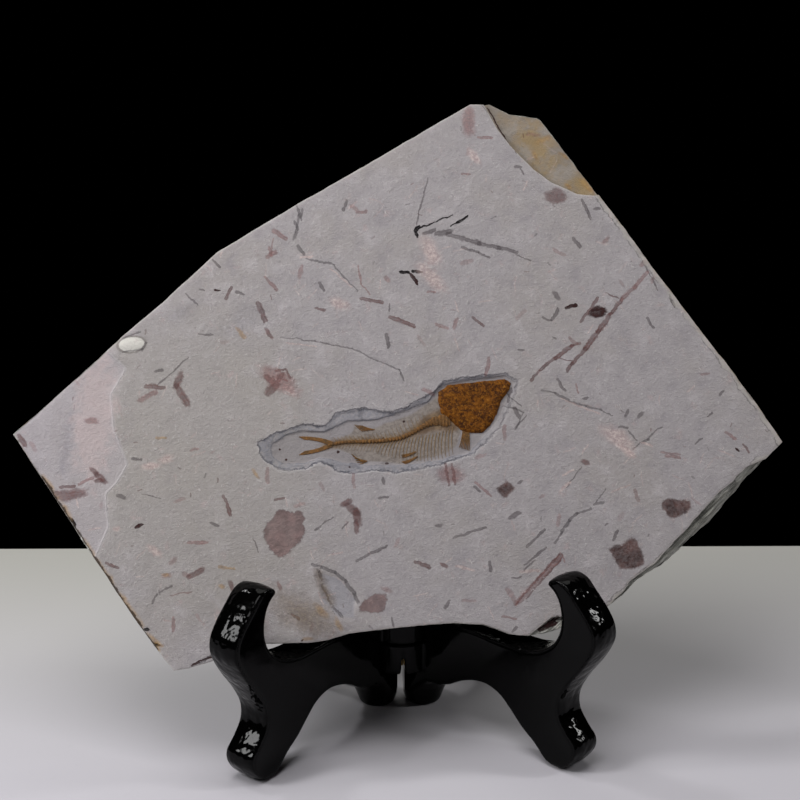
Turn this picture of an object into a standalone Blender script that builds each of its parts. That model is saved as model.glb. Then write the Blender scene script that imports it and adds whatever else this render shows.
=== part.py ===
"""Fossil fish in a slab of laminated mudstone, held up by a folding stand of two glossy halves.

The stand stands on the XY plane and its pin is vertical. Each half is a board in two stretches: a
front arm with a hook and a toe, and a back part with an upright that the slab leans on. The right
half turns on the pin, so the stand closes flat. The slab and the fish are laid out flat, in their
own plane, and then leaned back.
"""

import math
import random

import bmesh
import bpy
from mathutils import Matrix, Vector

MM = 0.001
GAP = 0.3  # what touching pieces keep between them

# Driving dimensions, in millimetres.
LEAN = 25.0  # the slab's lean from the vertical, in degrees
SLAB_FRONT_Y = -42.0  # the slab's lower front edge, seen from the pin
SLAB_FRONT_Z = 46.2
ARM_ANGLE = 48.0  # from the X axis to each front arm, in degrees
BOARD = 13.5  # thickness of the stand's boards
EDGE_ROUNDING = 2.2
PIN_Y = 10.47  # puts the origin under the middle of the whole piece
KNUCKLE_RADIUS = 12.0
LOWER_KNUCKLE = (18.0, 30.0)  # the right half's
UPPER_KNUCKLE = (30.3, 43.2)  # the left half's
SLIT = 2.6  # between the two halves' columns
SLIT_TOP = 17.85
FOOT_TOPS = (17.7, 18.4)  # the left half's and the right half's, each inside its own arm
FOOT_REACH = 17.5  # across its board, which bounds the foot's quarter
LEFT_FREE_FROM = 17.7  # the left half keeps clear of the lower knuckle from here up
PIN_RADIUS = 1.0
PIN_ENDS = (16.7, 44.9)
PIN_HEAD_RADIUS = 2.3
PIN_HEAD_TOP = 45.1

# Depths from the slab's front face, in millimetres. Each lamina overlaps the next.
LAMINAE = ((-7.0, -4.9), (-5.1, -3.1), (-3.3, -1.3), (-1.5, 0.0))
LAMINA_STEPS = (0.0, 0.35, 1.3, 3.2)  # how far each lamina's lower right edge is broken back
ROUGH_STEP = 4.5
ROUGH_AMOUNT = 0.35
TROUGH_RIM_DEPTH = 0.5
TROUGH_DEPTH = 1.0

# Outlines, clockwise, as (across, up) in the slab's plane, in millimetres.
UPPER_LEFT_EDGE = (
    (-141.2, 78.5), (-131.8, 86.4), (-108.8, 106.8), (-101.5, 113.4), (-86.7, 125.7),
    (-66.5, 144.1), (-35.7, 162.2), (-17.1, 172.5), (2.0, 183.4), (29.5, 199.1), (34.5, 198.8),
)
LOW_CORNER = ((36.7, 199.2), (40.3, 197.3), (44.1, 195.4), (54.6, 193.8), (56.0, 193.2))
SCAR_ARC = (
    (35.3, 197.5), (39.5, 189.0), (45.5, 181.0), (52.5, 173.5), (59.0, 168.5), (68.5, 164.0),
    (76.0, 163.0),
)
UPPER_RIGHT_EDGE = (
    (76.7, 163.4), (85.5, 151.1), (96.3, 134.8), (112.0, 112.1), (123.5, 96.1), (133.2, 81.7),
    (141.2, 68.5),
)
LOWER_RIGHT_EDGE = (
    (134.4, 62.4), (128.2, 57.9), (110.6, 40.8), (100.2, 31.3), (93.5, 25.5), (84.5, 20.0),
    (79.0, 14.0), (74.0, 10.5),
)
BOTTOM_EDGE = (
    (69.0, 8.0), (60.0, 6.8), (52.0, 6.7), (47.5, 3.2), (43.3, 0.3), (39.5, 0.5), (36.0, 1.2),
    (32.5, 2.8), (27.0, 4.8), (14.5, 5.7), (-3.5, 4.8), (-21.5, 3.2), (-29.0, 1.2), (-36.0, 0.3),
    (-50.0, 0.5),
    (-58.0, 0.4), (-66.0, -2.6), (-72.0, -5.3), (-79.0, -7.2), (-85.0, -8.0),
)
LOWER_LEFT_EDGE = (
    (-91.1, 0.0), (-97.9, 9.8), (-108.1, 25.9), (-116.6, 39.0), (-124.7, 52.4), (-131.5, 63.0),
)
LEFT_PANEL = (
    (-148.0, 78.0), (-112.0, 113.0), (-100.5, 101.5), (-106.0, 92.0), (-105.0, 79.0),
    (-100.3, 66.7), (-104.3, 60.0), (-108.3, 56.0), (-107.5, 44.0), (-113.0, 32.0), (-124.0, 40.0),
)
LEFT_PANEL_DEPTH = 0.45
FLAKE = ((-33.0, 26.0), (-24.5, 23.0), (-18.8, 15.5), (-20.0, 8.5), (-26.0, 9.0), (-31.5, 15.5))
FLAKE_DEPTH = 0.5
TROUGH_RIM = (
    (-53.4, 73.0), (-45.7, 76.6), (-36.1, 79.4), (-28.0, 78.6), (-24.0, 83.2), (-14.2, 84.9),
    (-8.4, 83.4), (-2.7, 83.0), (5.8, 86.8), (11.5, 90.0), (16.0, 94.0), (23.5, 95.2), (39.0, 96.4),
    (43.3, 93.6), (42.0, 89.0), (36.0, 77.0), (30.4, 71.2), (25.8, 67.6), (14.0, 63.5),
    (3.0, 62.0), (-2.1, 60.8), (-11.7, 62.2), (-21.9, 61.0), (-27.6, 64.0), (-31.0, 66.0),
    (-35.2, 63.2), (-44.7, 63.2), (-51.0, 67.0),
)
TROUGH_FLOOR = (
    (-48.5, 72.0), (-43.1, 75.8), (-36.8, 77.2), (-29.0, 76.6), (-20.1, 80.4), (-9.8, 80.6),
    (0.6, 83.5), (9.7, 86.9), (14.5, 92.6), (23.5, 94.4), (38.8, 95.7), (42.2, 93.3),
    (41.0, 89.6), (35.5, 79.0), (29.8, 73.0), (24.5, 67.8), (14.0, 65.2), (3.0, 63.6),
    (-11.7, 63.8), (-21.9, 65.0), (-30.6, 67.3), (-36.0, 65.2), (-44.0, 65.2), (-48.0, 67.8),
)

# The fish, in the same plane. Its layers stand on the trough's floor.
FISH_BODY = (
    (-27.6, 70.9), (-24.4, 73.4), (-18.5, 76.2), (-17.6, 79.0), (-14.4, 78.2), (-11.4, 77.4),
    (-6.0, 79.4), (0.0, 81.0), (3.8, 82.6), (8.4, 85.6), (13.6, 89.0), (22.0, 84.0),
    (21.3, 74.6), (19.6, 70.4), (15.6, 67.6), (10.9, 66.3), (4.0, 65.0), (-1.2, 64.1),
    (-7.8, 65.0), (-13.6, 65.5), (-18.0, 64.9), (-17.6, 67.1), (-22.0, 69.4),
)
FISH_HEAD = (
    (13.7, 90.2), (17.0, 92.8), (23.5, 93.4), (34.6, 94.3), (38.5, 94.7), (40.8, 93.0),
    (40.0, 90.6), (36.8, 86.4), (35.4, 82.5), (32.6, 77.6), (29.2, 74.8), (23.4, 74.9),
    (20.9, 76.4), (17.8, 79.7), (14.6, 82.2), (13.4, 87.0),
)
GILL_COVER = ((14.6, 88.4), (18.6, 91.4), (23.4, 89.0), (25.2, 82.6), (23.4, 77.2), (18.2, 80.8))
JAW = ((27.0, 80.0), (29.4, 84.4), (38.6, 92.4), (39.6, 91.0), (34.2, 82.6), (31.4, 78.2))
TAIL_LOBES = (
    ((-25.4, 72.8), (-28.6, 73.2), (-31.7, 74.6), (-38.2, 74.7), (-34.3, 73.4), (-28.2, 71.2)),
    ((-26.4, 70.7), (-28.4, 71.5), (-35.1, 69.6), (-38.3, 68.2), (-34.4, 68.2), (-30.6, 69.0)),
)
PECTORAL_FIN = ((22.3, 76.0), (24.6, 76.0), (24.1, 72.0), (23.3, 68.4), (20.6, 69.6), (22.0, 73.0))
SPINE = (
    (18.0, 79.6), (14.6, 79.9), (10.7, 79.4), (6.8, 77.4), (2.9, 75.2), (-1.1, 73.6),
    (-7.5, 72.8), (-14.5, 72.7), (-20.3, 72.8), (-25.4, 72.2), (-28.2, 71.4),
)
SPINE_WIDTH = 1.0
VERTEBRA_PITCH = 1.55
VERTEBRA_SIZE = (0.75, 1.5, 0.6)
RIB_COUNT = 13
RIB_FIRST_TOP = (18.0, 78.2)
RIB_FIRST_FOOT = (19.2, 71.2)
RIB_LAST_TOP = (-3.0, 72.2)
RIB_LAST_FOOT = (-5.6, 66.6)
RIB_SIZE = (0.5, 0.45)
BODY_TOP = -0.42
FIN_TOP = -0.3
RIB_TOP = -0.28
SPINE_TOP = -0.12
HEAD_FOOT = -0.3  # where the gill cover and the jaw start, inside the head
HEAD_TOP = 0.0
GILL_TOP = 0.18
JAW_TOP = 0.25

# The boards' outlines, as (reach from the pin's axis, height).
FRONT_ARM = (
    (6.0, 42.4), (20.0, 42.6), (38.0, 42.6), (48.0, 42.4), (56.0, 42.5), (62.0, 43.2),
    (67.0, 44.6), (71.0, 46.9), (74.4, 50.2), (76.6, 55.0), (77.1, 60.0), (76.0, 65.0),
    (73.8, 68.2), (70.8, 70.4), (71.3, 72.7), (75.2, 74.1), (79.8, 72.9), (84.5, 68.6),
    (89.6, 63.4),
    (92.9, 58.2), (93.2, 52.2), (89.4, 44.6), (82.4, 34.8), (78.6, 27.6), (78.5, 21.6),
    (81.9, 16.6), (85.9, 12.2), (86.0, 7.6), (82.6, 2.4), (78.4, 0.0), (73.4, 0.0),
    (70.0, 2.8), (66.0, 6.6), (60.0, 10.8), (55.0, 15.4), (49.6, 19.9), (43.0, 21.9),
    (36.0, 21.0), (30.0, 18.6), (24.5, 15.4), (19.0, 14.0), (6.0, 14.0),
)
FRONT_ARM_CORNERS = (0, 29, 30, 40, 41)  # the points of FRONT_ARM that aren't rounded
SOLE_CHAMFER = 3.2  # along the lower edges of the toe
BACK_PART = (
    (6.0, 20.5), (6.0, 42.8), (12.7, 47.0), (12.8, 70.0), (13.4, 95.0), (15.8, 116.0),
    (22.4, 133.0), (31.6, 149.6), (34.8, 153.6), (38.6, 152.6), (39.2, 147.6), (35.8, 139.6),
    (31.4, 128.0), (28.2, 110.0), (28.3, 85.0), (31.0, 62.0), (36.2, 42.0), (42.8, 26.0),
    (48.2, 14.4), (52.4, 6.4), (53.2, 2.4), (51.4, 0.0), (43.0, 0.0), (39.4, 3.6),
    (34.0, 12.4), (28.2, 18.6), (20.0, 20.5),
)
BACK_PART_CORNERS = (0, 1, 21, 22)
OUTLINE_SMOOTHNESS = 3  # segments between two points of a board's outline

# The round foot beside the pin, as (radius, height): it flares up into the arm.
FOOT_CENTRE = (9.0, 4.0)  # to the side of the pin and behind it
FOOT_PROFILE = (
    (19.0, 17.7), (15.4, 15.2), (12.2, 12.0), (9.9, 8.4), (8.4, 5.0), (7.4, 2.2), (6.8, 0.7),
    (6.0, 0.0),
)
FOOT_STEPS = 24
KNUCKLE_STEPS = 32
PIN_STEPS = 16

SLOT_WIDTHS = (1.9, 0.7)  # the lower knuckle's front slot, at its foot and its top
SLOT_TOP = 29.0


def matte(name, colour, roughness, metallic=0.0):
    """A plain material."""
    material = bpy.data.materials.new(name)
    material.use_nodes = True
    surface = material.node_tree.nodes["Principled BSDF"]
    surface.inputs["Base Color"].default_value = (*colour, 1.0)
    surface.inputs["Roughness"].default_value = roughness
    surface.inputs["Metallic"].default_value = metallic
    return material


def link(obj, collection):
    collection.objects.link(obj)
    return obj


def mesh_of(curve_object, collection):
    """The mesh that a curve or a modifier makes, welded, in place of the object it comes from."""
    bpy.context.view_layer.update()
    graph = bpy.context.evaluated_depsgraph_get()
    mesh = bpy.data.meshes.new_from_object(curve_object.evaluated_get(graph))
    shape = bmesh.new()
    shape.from_mesh(mesh)
    bmesh.ops.remove_doubles(shape, verts=shape.verts, dist=2e-6)
    bmesh.ops.recalc_face_normals(shape, faces=shape.faces)
    shape.to_mesh(mesh)
    shape.free()
    made = bpy.data.objects.new(curve_object.name, mesh)
    made.matrix_world = curve_object.matrix_world.copy()
    bpy.data.objects.remove(curve_object)
    return link(made, collection)


def flat_outline(name, points, low, high, place, collection, corners=None, smoothness=1):
    """A closed outline made solid between two depths. With corners given, its other points are
    rounded."""
    curve = bpy.data.curves.new(name, "CURVE")
    curve.dimensions = "2D"
    curve.fill_mode = "BOTH"
    curve.extrude = (high - low) / 2 * MM
    curve.resolution_u = smoothness
    if corners is None:
        spline = curve.splines.new("POLY")
        spline.points.add(len(points) - 1)
        for point, (x, y) in zip(spline.points, points):
            point.co = (x * MM, y * MM, 0.0, 1.0)
    else:
        spline = curve.splines.new("BEZIER")
        spline.bezier_points.add(len(points) - 1)
        for index, (x, y) in enumerate(points):
            point = spline.bezier_points[index]
            point.co = (x * MM, y * MM, 0.0)
            handle = "VECTOR" if index in corners else "AUTO"
            point.handle_left_type = handle
            point.handle_right_type = handle
    spline.use_cyclic_u = True
    obj = link(bpy.data.objects.new(name, curve), collection)
    obj.matrix_world = place @ Matrix.Translation((0, 0, (low + high) / 2 * MM))
    return mesh_of(obj, collection)


def cylinder(name, radius, low, high, place, collection, segments=KNUCKLE_STEPS):
    """An upright round bar."""
    mesh = bpy.data.meshes.new(name)
    shape = bmesh.new()
    bmesh.ops.create_cone(
        shape,
        cap_ends=True,
        segments=segments,
        radius1=radius * MM,
        radius2=radius * MM,
        depth=(high - low) * MM,
    )
    shape.to_mesh(mesh)
    shape.free()
    obj = link(bpy.data.objects.new(name, mesh), collection)
    obj.matrix_world = place @ Matrix.Translation((0, 0, (low + high) / 2 * MM))
    return obj


def box(name, low, high, place, collection):
    """A block between two corners."""
    mesh = bpy.data.meshes.new(name)
    shape = bmesh.new()
    bmesh.ops.create_cube(shape, size=1.0)
    size = Vector(high) - Vector(low)
    bmesh.ops.scale(shape, vec=size * MM, verts=shape.verts)
    shape.to_mesh(mesh)
    shape.free()
    obj = link(bpy.data.objects.new(name, mesh), collection)
    obj.matrix_world = place @ Matrix.Translation((Vector(low) + Vector(high)) / 2 * MM)
    return obj


def turned(name, profile, steps, place, collection):
    """A solid of revolution. Its profile runs down its outer side."""
    mesh = bpy.data.meshes.new(name)
    rim = [(0.0, profile[0][1]), *profile, (0.0, profile[-1][1])]
    points = [(radius * MM, 0.0, height * MM) for radius, height in rim]
    mesh.from_pydata(points, [(i, i + 1) for i in range(len(points) - 1)], [])
    obj = link(bpy.data.objects.new(name, mesh), collection)
    screw = obj.modifiers.new("Turn", "SCREW")
    screw.steps = steps
    screw.render_steps = steps
    screw.use_merge_vertices = True
    screw.merge_threshold = 0.00001
    obj.matrix_world = place
    return mesh_of(obj, collection)


def combine(target, others, operation, collection):
    """Applies one Boolean for each of the others and removes them."""
    for other in others:
        modifier = target.modifiers.new("Join", "BOOLEAN")
        modifier.operation = operation
        modifier.object = other
        name = target.name
        target = mesh_of(target, collection)
        target.name = name
        bpy.data.objects.remove(other)
    return target


def seen_from(side, back):
    """The upright frame of one board: X is its reach, Y is up."""
    reach = 1 if back else -1
    across = -side if back else side
    angle = math.radians(ARM_ANGLE)
    along = Vector((across * math.cos(angle), reach * math.sin(angle), 0.0))
    up = Vector((0.0, 0.0, 1.0))
    turn = Matrix((along, up, along.cross(up))).transposed().to_4x4()
    return Matrix.Translation((0, PIN_Y * MM, 0)) @ turn


def sole_chamfer(place, face, inward, collection):
    """The cutter that slants one lower edge of a toe."""
    facing = place @ Matrix.Translation((75 * MM, 0, face * MM)) @ Matrix.Rotation(math.pi / 2, 4, "Y")
    cut = SOLE_CHAMFER
    outline = ((inward, -2), (inward, cut + 1), (-inward * cut - inward, -1), (-inward * cut, -2))
    return flat_outline("chamfer", outline, -20, 20, facing, collection)


def board(side, back, clearance, collection):
    """One stretch of a stand half, with the other half's knuckle and sector left free."""
    outline = BACK_PART if back else FRONT_ARM
    corners = BACK_PART_CORNERS if back else FRONT_ARM_CORNERS
    low, high = (0.0, BOARD) if side < 0 else (-BOARD, 0.0)
    place = seen_from(side, back)
    made = flat_outline(
        "board", outline, low, high, place, collection, corners, OUTLINE_SMOOTHNESS
    )
    rounding = made.modifiers.new("Rounding", "BEVEL")
    rounding.width = EDGE_ROUNDING * MM
    rounding.segments = 2
    rounding.limit_method = "ANGLE"
    rounding.angle_limit = math.radians(50)
    made = mesh_of(made, collection)
    if not back:
        chamfers = [sole_chamfer(place, low, 1, collection), sole_chamfer(place, high, -1, collection)]
        made = combine(made, chamfers, "DIFFERENCE", collection)
    upright = Matrix.Translation((0, PIN_Y * MM, 0))
    free = cylinder("free", KNUCKLE_RADIUS + 0.4, *clearance, upright, collection)
    beyond = (-40, -40, -5) if back else (-40, -0.2, -5)
    edge = (40, 0.2, 60) if back else (40, 40, 60)
    sector = box("sector", beyond, edge, upright, collection)
    return combine(made, [free, sector], "DIFFERENCE", collection)


def foot(side, top, collection):
    """The half's round foot beside the pin, kept to its own side of the slit and of the fold."""
    across, behind = FOOT_CENTRE
    upright = Matrix.Translation((side * across * MM, (PIN_Y + behind) * MM, 0))
    profile = [(FOOT_PROFILE[0][0], top), *FOOT_PROFILE[1:]]
    made = turned("foot", profile, FOOT_STEPS, upright, collection)
    low, high = (0.05, FOOT_REACH) if side < 0 else (-FOOT_REACH, -0.05)
    quarter = box("quarter", (-6, -5, low), (40, 60, high), seen_from(side, False), collection)
    return combine(made, [quarter], "INTERSECT", collection)


def stand_half(name, side, knuckle, clearance, material, collection):
    """One half of the stand: two boards, a knuckle round the pin and a foot beside it."""
    upright = Matrix.Translation((0, PIN_Y * MM, 0))
    front = board(side, False, clearance, collection)
    front.name = name
    pieces = [
        board(side, True, clearance, collection),
        cylinder("knuckle", KNUCKLE_RADIUS, *knuckle, upright, collection),
        foot(side, FOOT_TOPS[side > 0], collection),
    ]
    half = combine(front, pieces, "UNION", collection)
    bore = cylinder("bore", PIN_RADIUS + GAP, -5, 60, upright, collection, PIN_STEPS)
    left, right = sorted((side * SLIT / 2, -side * 16))
    slit = box("slit", (left, -30, -5), (right, 30, SLIT_TOP), upright, collection)
    half = combine(half, [bore, slit], "DIFFERENCE", collection)
    half.data.materials.append(material)
    return half


def front_slot(half, collection):
    """Opens the lower knuckle towards the front, so that the pin shows."""
    wide, narrow = (width / 2 for width in SLOT_WIDTHS)
    outline = ((-wide, 10.0), (-narrow, SLOT_TOP), (narrow, SLOT_TOP), (wide, 10.0))
    facing = Matrix.Translation((0, PIN_Y * MM, 0)) @ Matrix.Rotation(math.radians(90), 4, "X")
    slot = flat_outline("slot", outline, 0.2, 20.0, facing, collection)
    return combine(half, [slot], "DIFFERENCE", collection)


def own_origin(obj, origin):
    """Moves an object's origin without moving its shape."""
    obj.data.transform(Matrix.Translation(-origin) @ obj.matrix_world)
    obj.matrix_world = Matrix.Translation(origin)


def slab_place():
    """The frame of the slab's front face: X across, Y up the slope, Z out of the stone."""
    lower_edge = Vector((0, PIN_Y + SLAB_FRONT_Y, SLAB_FRONT_Z)) * MM
    return Matrix.Translation(lower_edge) @ Matrix.Rotation(math.radians(90 - LEAN), 4, "X")


def broken(points, seed):
    """The outline with its long stretches broken up, as the edge of split stone is."""
    dice = random.Random(seed)
    rough = []
    for start, end in zip(points, (*points[1:], points[0])):
        run = Vector(end) - Vector(start)
        count = max(1, round(run.length / ROUGH_STEP))
        outward = Vector((-run.y, run.x)).normalized()
        rough.append(Vector(start))
        for step in range(1, count):
            along = (step + dice.uniform(-0.25, 0.25)) / count
            rough.append(Vector(start) + run * along + outward * dice.uniform(-1, 0.2) * ROUGH_AMOUNT)
    return rough


def broken_back(points, amount):
    """The lower right edge moved up and left, into the slab."""
    inward = Vector((-0.64, 0.77)) * amount
    eased = []
    for index, point in enumerate(points):
        share = min(1.0, index / 1.5, (len(points) - 1 - index) / 1.5 + 0.2)
        eased.append(Vector(point) + inward * share)
    return eased


def lamina_outline(index):
    """The outline of one lamina: only the front one lacks the corner and the lower right ledge."""
    top_corner = SCAR_ARC if index == len(LAMINAE) - 1 else LOW_CORNER
    lower_right = broken_back(LOWER_RIGHT_EDGE, LAMINA_STEPS[index])
    outline = [
        *UPPER_LEFT_EDGE,
        *top_corner,
        *UPPER_RIGHT_EDGE,
        *lower_right,
        *BOTTOM_EDGE,
        *LOWER_LEFT_EDGE,
    ]
    return broken([tuple(point) for point in outline], seed=11 + index)


def slab(collection, material):
    """The split stone: laminae with a broken rim, and the trough prepared round the fish."""
    place = slab_place()
    laminae = [
        flat_outline("lamina", lamina_outline(index), low, high, place, collection)
        for index, (low, high) in enumerate(LAMINAE)
    ]
    stone = combine(laminae[0], laminae[1:], "UNION", collection)
    hollows = (
        (LEFT_PANEL, LEFT_PANEL_DEPTH),
        (FLAKE, FLAKE_DEPTH),
        (TROUGH_RIM, TROUGH_RIM_DEPTH),
        (TROUGH_FLOOR, TROUGH_DEPTH),
    )
    cutters = [
        flat_outline("hollow", outline, -depth, 3.0, place, collection)
        for outline, depth in hollows
    ]
    stone = combine(stone, cutters, "DIFFERENCE", collection)
    stone.name = "slab"
    stone.data.materials.append(material)
    return stone


def spine_points(pitch):
    """Places along the spine, with the direction there, one pitch apart."""
    left_over = 0.0
    for start, end in zip(SPINE, SPINE[1:]):
        run = Vector(end) - Vector(start)
        along = left_over
        while along < run.length:
            yield Vector(start) + run.normalized() * along, math.atan2(run.y, run.x)
            along += pitch
        left_over = along - run.length


def spine(place, collection):
    """The backbone: a ridge with a row of vertebrae across it."""
    centre = [Vector(point) for point in SPINE]
    left, right = [], []
    for index, point in enumerate(centre):
        before = centre[max(0, index - 1)]
        after = centre[min(len(centre) - 1, index + 1)]
        run = (after - before).normalized()
        outward = Vector((-run.y, run.x)) * SPINE_WIDTH / 2
        left.append(point + outward)
        right.append(point - outward)
    ridge = [*left, *reversed(right)]
    pieces = [flat_outline("ridge", ridge, -0.7, SPINE_TOP - 0.1, place, collection)]
    length, width, height = VERTEBRA_SIZE
    for point, angle in spine_points(VERTEBRA_PITCH):
        turn = Matrix.Translation((*(point * MM), 0)) @ Matrix.Rotation(angle, 4, "Z")
        low = (-length / 2, -width / 2, SPINE_TOP - height)
        high = (length / 2, width / 2, SPINE_TOP)
        pieces.append(box("vertebra", low, high, place @ turn, collection))
    return pieces


def ribs(place, collection):
    """Thin bones from the spine to the belly."""
    pieces = []
    width, height = RIB_SIZE
    for index in range(RIB_COUNT):
        share = index / (RIB_COUNT - 1)
        top = Vector(RIB_FIRST_TOP).lerp(Vector(RIB_LAST_TOP), share)
        sag = 4 * share * (1 - share)
        foot = Vector(RIB_FIRST_FOOT).lerp(Vector(RIB_LAST_FOOT), share) - Vector((0, 1.6 * sag))
        top -= Vector((0, 1.5 * sag))
        run = foot - top
        turn = Matrix.Rotation(math.atan2(run.y, run.x), 4, "Z")
        turn = Matrix.Translation((*(top * MM), 0)) @ turn
        low = (0.0, -width / 2, RIB_TOP - height)
        high = (run.length, width / 2, RIB_TOP)
        pieces.append(box("rib", low, high, place @ turn, collection))
    return pieces


def fish(collection, material):
    """The flattened fish in low relief, all bones and the body's film grown together."""
    place = slab_place()
    floor = GAP - TROUGH_DEPTH
    body = flat_outline("fossil_fish", FISH_BODY, floor, BODY_TOP, place, collection)
    pieces = [
        flat_outline("head", FISH_HEAD, floor + 0.01, HEAD_TOP, place, collection),
        flat_outline("gill", GILL_COVER, HEAD_FOOT, GILL_TOP, place, collection),
        flat_outline("jaw", JAW, HEAD_FOOT, JAW_TOP, place, collection),
        flat_outline("pectoral", PECTORAL_FIN, floor + 0.02, FIN_TOP, place, collection),
        *(
            flat_outline("tail", lobe, floor + 0.03, FIN_TOP, place, collection)
            for lobe in TAIL_LOBES
        ),
        *spine(place, collection),
        *ribs(place, collection),
    ]
    body = combine(body, pieces, "UNION", collection)
    body.name = "fossil_fish"
    body.data.materials.append(material)
    return body


def hinge_pin(collection, material):
    """The pin that both knuckles turn on, headed over at the top."""
    upright = Matrix.Translation((0, PIN_Y * MM, 0))
    low, high = PIN_ENDS
    pin = cylinder("hinge_pin", PIN_RADIUS, low, high, upright, collection, PIN_STEPS)
    seat = UPPER_KNUCKLE[1] + GAP
    head = cylinder("head", PIN_HEAD_RADIUS, seat, PIN_HEAD_TOP, upright, collection, PIN_STEPS)
    pin = combine(pin, [head], "UNION", collection)
    pin.data.materials.append(material)
    return pin


def main():
    for obj in list(bpy.data.objects):
        bpy.data.objects.remove(obj)
    collection = bpy.data.collections.new("fossil_fish_slab")
    bpy.context.scene.collection.children.link(collection)
    stone = matte("mudstone", (0.33, 0.30, 0.31), 0.9)
    bone = matte("fossil_bone", (0.30, 0.14, 0.035), 0.7)
    plastic = matte("black_plastic", (0.012, 0.011, 0.012), 0.16)
    metal = matte("pin_brass", (0.55, 0.42, 0.22), 0.35, 1.0)

    slab(collection, stone)
    fish(collection, bone)
    axis = Vector((0, PIN_Y * MM, 0))
    left = stand_half(
        "stand_left_half", -1, UPPER_KNUCKLE, (LEFT_FREE_FROM, UPPER_KNUCKLE[0]), plastic, collection
    )
    right = stand_half(
        "stand_right_half", 1, LOWER_KNUCKLE, (LOWER_KNUCKLE[1], 60.0), plastic, collection
    )
    right = front_slot(right, collection)
    hinge_pin(collection, metal)

    hinge = bpy.data.objects.new("hinge", None)
    hinge.location = axis
    link(hinge, collection)
    own_origin(left, axis)
    own_origin(right, axis)
    right.parent = hinge
    right.matrix_parent_inverse = Matrix.Translation(-axis)


main()
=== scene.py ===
"""Looks of the fossil fish slab and its folding stand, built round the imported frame.

The slab is one closed surface of split mudstone, whose laminae step back at its broken rim. The
fish is made of bones that lie in the trough prepared round it. The stand's halves are moulded in
glossy black plastic. Lengths are millimetres until a mesh or a light is made.
"""

import logging
import math
from dataclasses import dataclass
from enum import Enum, IntEnum
from typing import Any, Iterator, Sequence

import bpy
import numpy as np
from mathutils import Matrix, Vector


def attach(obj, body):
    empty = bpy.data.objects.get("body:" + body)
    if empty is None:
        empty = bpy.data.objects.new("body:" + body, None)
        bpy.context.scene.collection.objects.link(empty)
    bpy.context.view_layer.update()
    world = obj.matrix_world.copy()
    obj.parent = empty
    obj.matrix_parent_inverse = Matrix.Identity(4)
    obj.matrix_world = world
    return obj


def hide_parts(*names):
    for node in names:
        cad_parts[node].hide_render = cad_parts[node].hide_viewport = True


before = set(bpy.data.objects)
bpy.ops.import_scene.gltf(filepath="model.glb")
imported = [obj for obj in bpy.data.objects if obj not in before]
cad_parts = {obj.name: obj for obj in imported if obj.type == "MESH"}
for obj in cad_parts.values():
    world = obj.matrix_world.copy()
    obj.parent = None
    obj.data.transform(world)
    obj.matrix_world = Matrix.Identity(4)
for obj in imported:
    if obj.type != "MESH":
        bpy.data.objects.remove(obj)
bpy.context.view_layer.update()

LOG = logging.getLogger("slab")
MM = 0.001
Array = np.ndarray
Point = Sequence[float]
Path = Sequence[Point]
Ring = tuple[Array, Array, Array, Array]  # across, up, height and the distance in from the rim

PIN_Y = 10.47  # the hinge pin's place behind the origin
LEAN = math.radians(25.0)  # the slab's lean from the vertical
SLAB_ORIGIN = (0.0, PIN_Y - 42.0, 46.2)  # the lower edge of the slab's front face
ARM_ANGLE = math.radians(48.0)  # from the X axis to each of the stand's arms
BOARD = 13.5  # thickness of the stand's boards

# What the slab's "inset" holds where a point isn't on the front face.
WALL, BARE, BEHIND = -1.0, -2.0, -3.0
FAR = 9.0  # stands for any distance too great to matter
OFF_MARK = 99.0  # the same, from a mark
SPOT_DEPTH = 90.0  # reach of a round stain into the stone, past any relief


class Seed(IntEnum):
    """The lattice that each noise reads. Loops over laminae and sheets add to some of them."""

    WAVES = 3
    RAGGED = 6
    MARKS = 11
    RIM = 20
    BITES = 30
    CHIPS = 41
    SHEETS = 50
    CORNER = 90
    BACK = 95
    HEAD_RIM = 201
    HEAD_BONE = 202
    NAPE = 204
    BOARD_WAVE = 301
    BOARD_FACE = 302


class Tone(Enum):
    """The finishes of the marks on the stone, by their main colour."""

    INK = "black film of coaly matter"
    UMBER = "very dark brown scrap"
    HAZE = "faint bluish stain"
    # The sand stain is darkened so that it also paints the shade beside the left hook.
    SAND_AND_SHADE = "rough sandy stain"
    SLATE = "dark grey streak"
    CRACK = "edge of a split"
    BROWN = "brown plant scrap"
    MAUVE = "faint reddish scrap"
    OCHRE = "iron stain"
    CREAM = "pale flaked spot"


# Outlines on the slab's face, clockwise, as (across, up) from its lower edge.
UPPER_LEFT_EDGE = (
    (-141.2, 78.5), (-131.8, 86.4), (-108.8, 106.8), (-101.5, 113.4), (-86.7, 125.7),
    (-66.5, 144.1), (-35.7, 162.2), (-17.1, 172.5), (2.0, 183.4), (29.5, 199.1), (34.5, 198.8),
)
LOW_CORNER = ((36.7, 199.2), (40.3, 197.3), (44.1, 195.4), (54.6, 193.8), (56.0, 193.2))
SCAR_ARC = (
    (35.3, 197.5), (39.5, 189.0), (45.5, 181.0), (52.5, 173.5), (59.0, 168.5), (68.5, 164.0),
    (76.0, 163.0),
)
UPPER_RIGHT_EDGE = (
    (76.7, 163.4), (85.5, 151.1), (96.3, 134.8), (112.0, 112.1), (123.5, 96.1), (133.2, 81.7),
    (141.2, 68.5),
)
LOWER_RIGHT_EDGE = (
    (134.4, 62.4), (128.2, 57.9), (110.6, 40.8), (100.2, 31.3), (93.5, 25.5), (84.5, 20.0),
    (79.0, 14.0), (74.0, 10.5),
)
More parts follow.
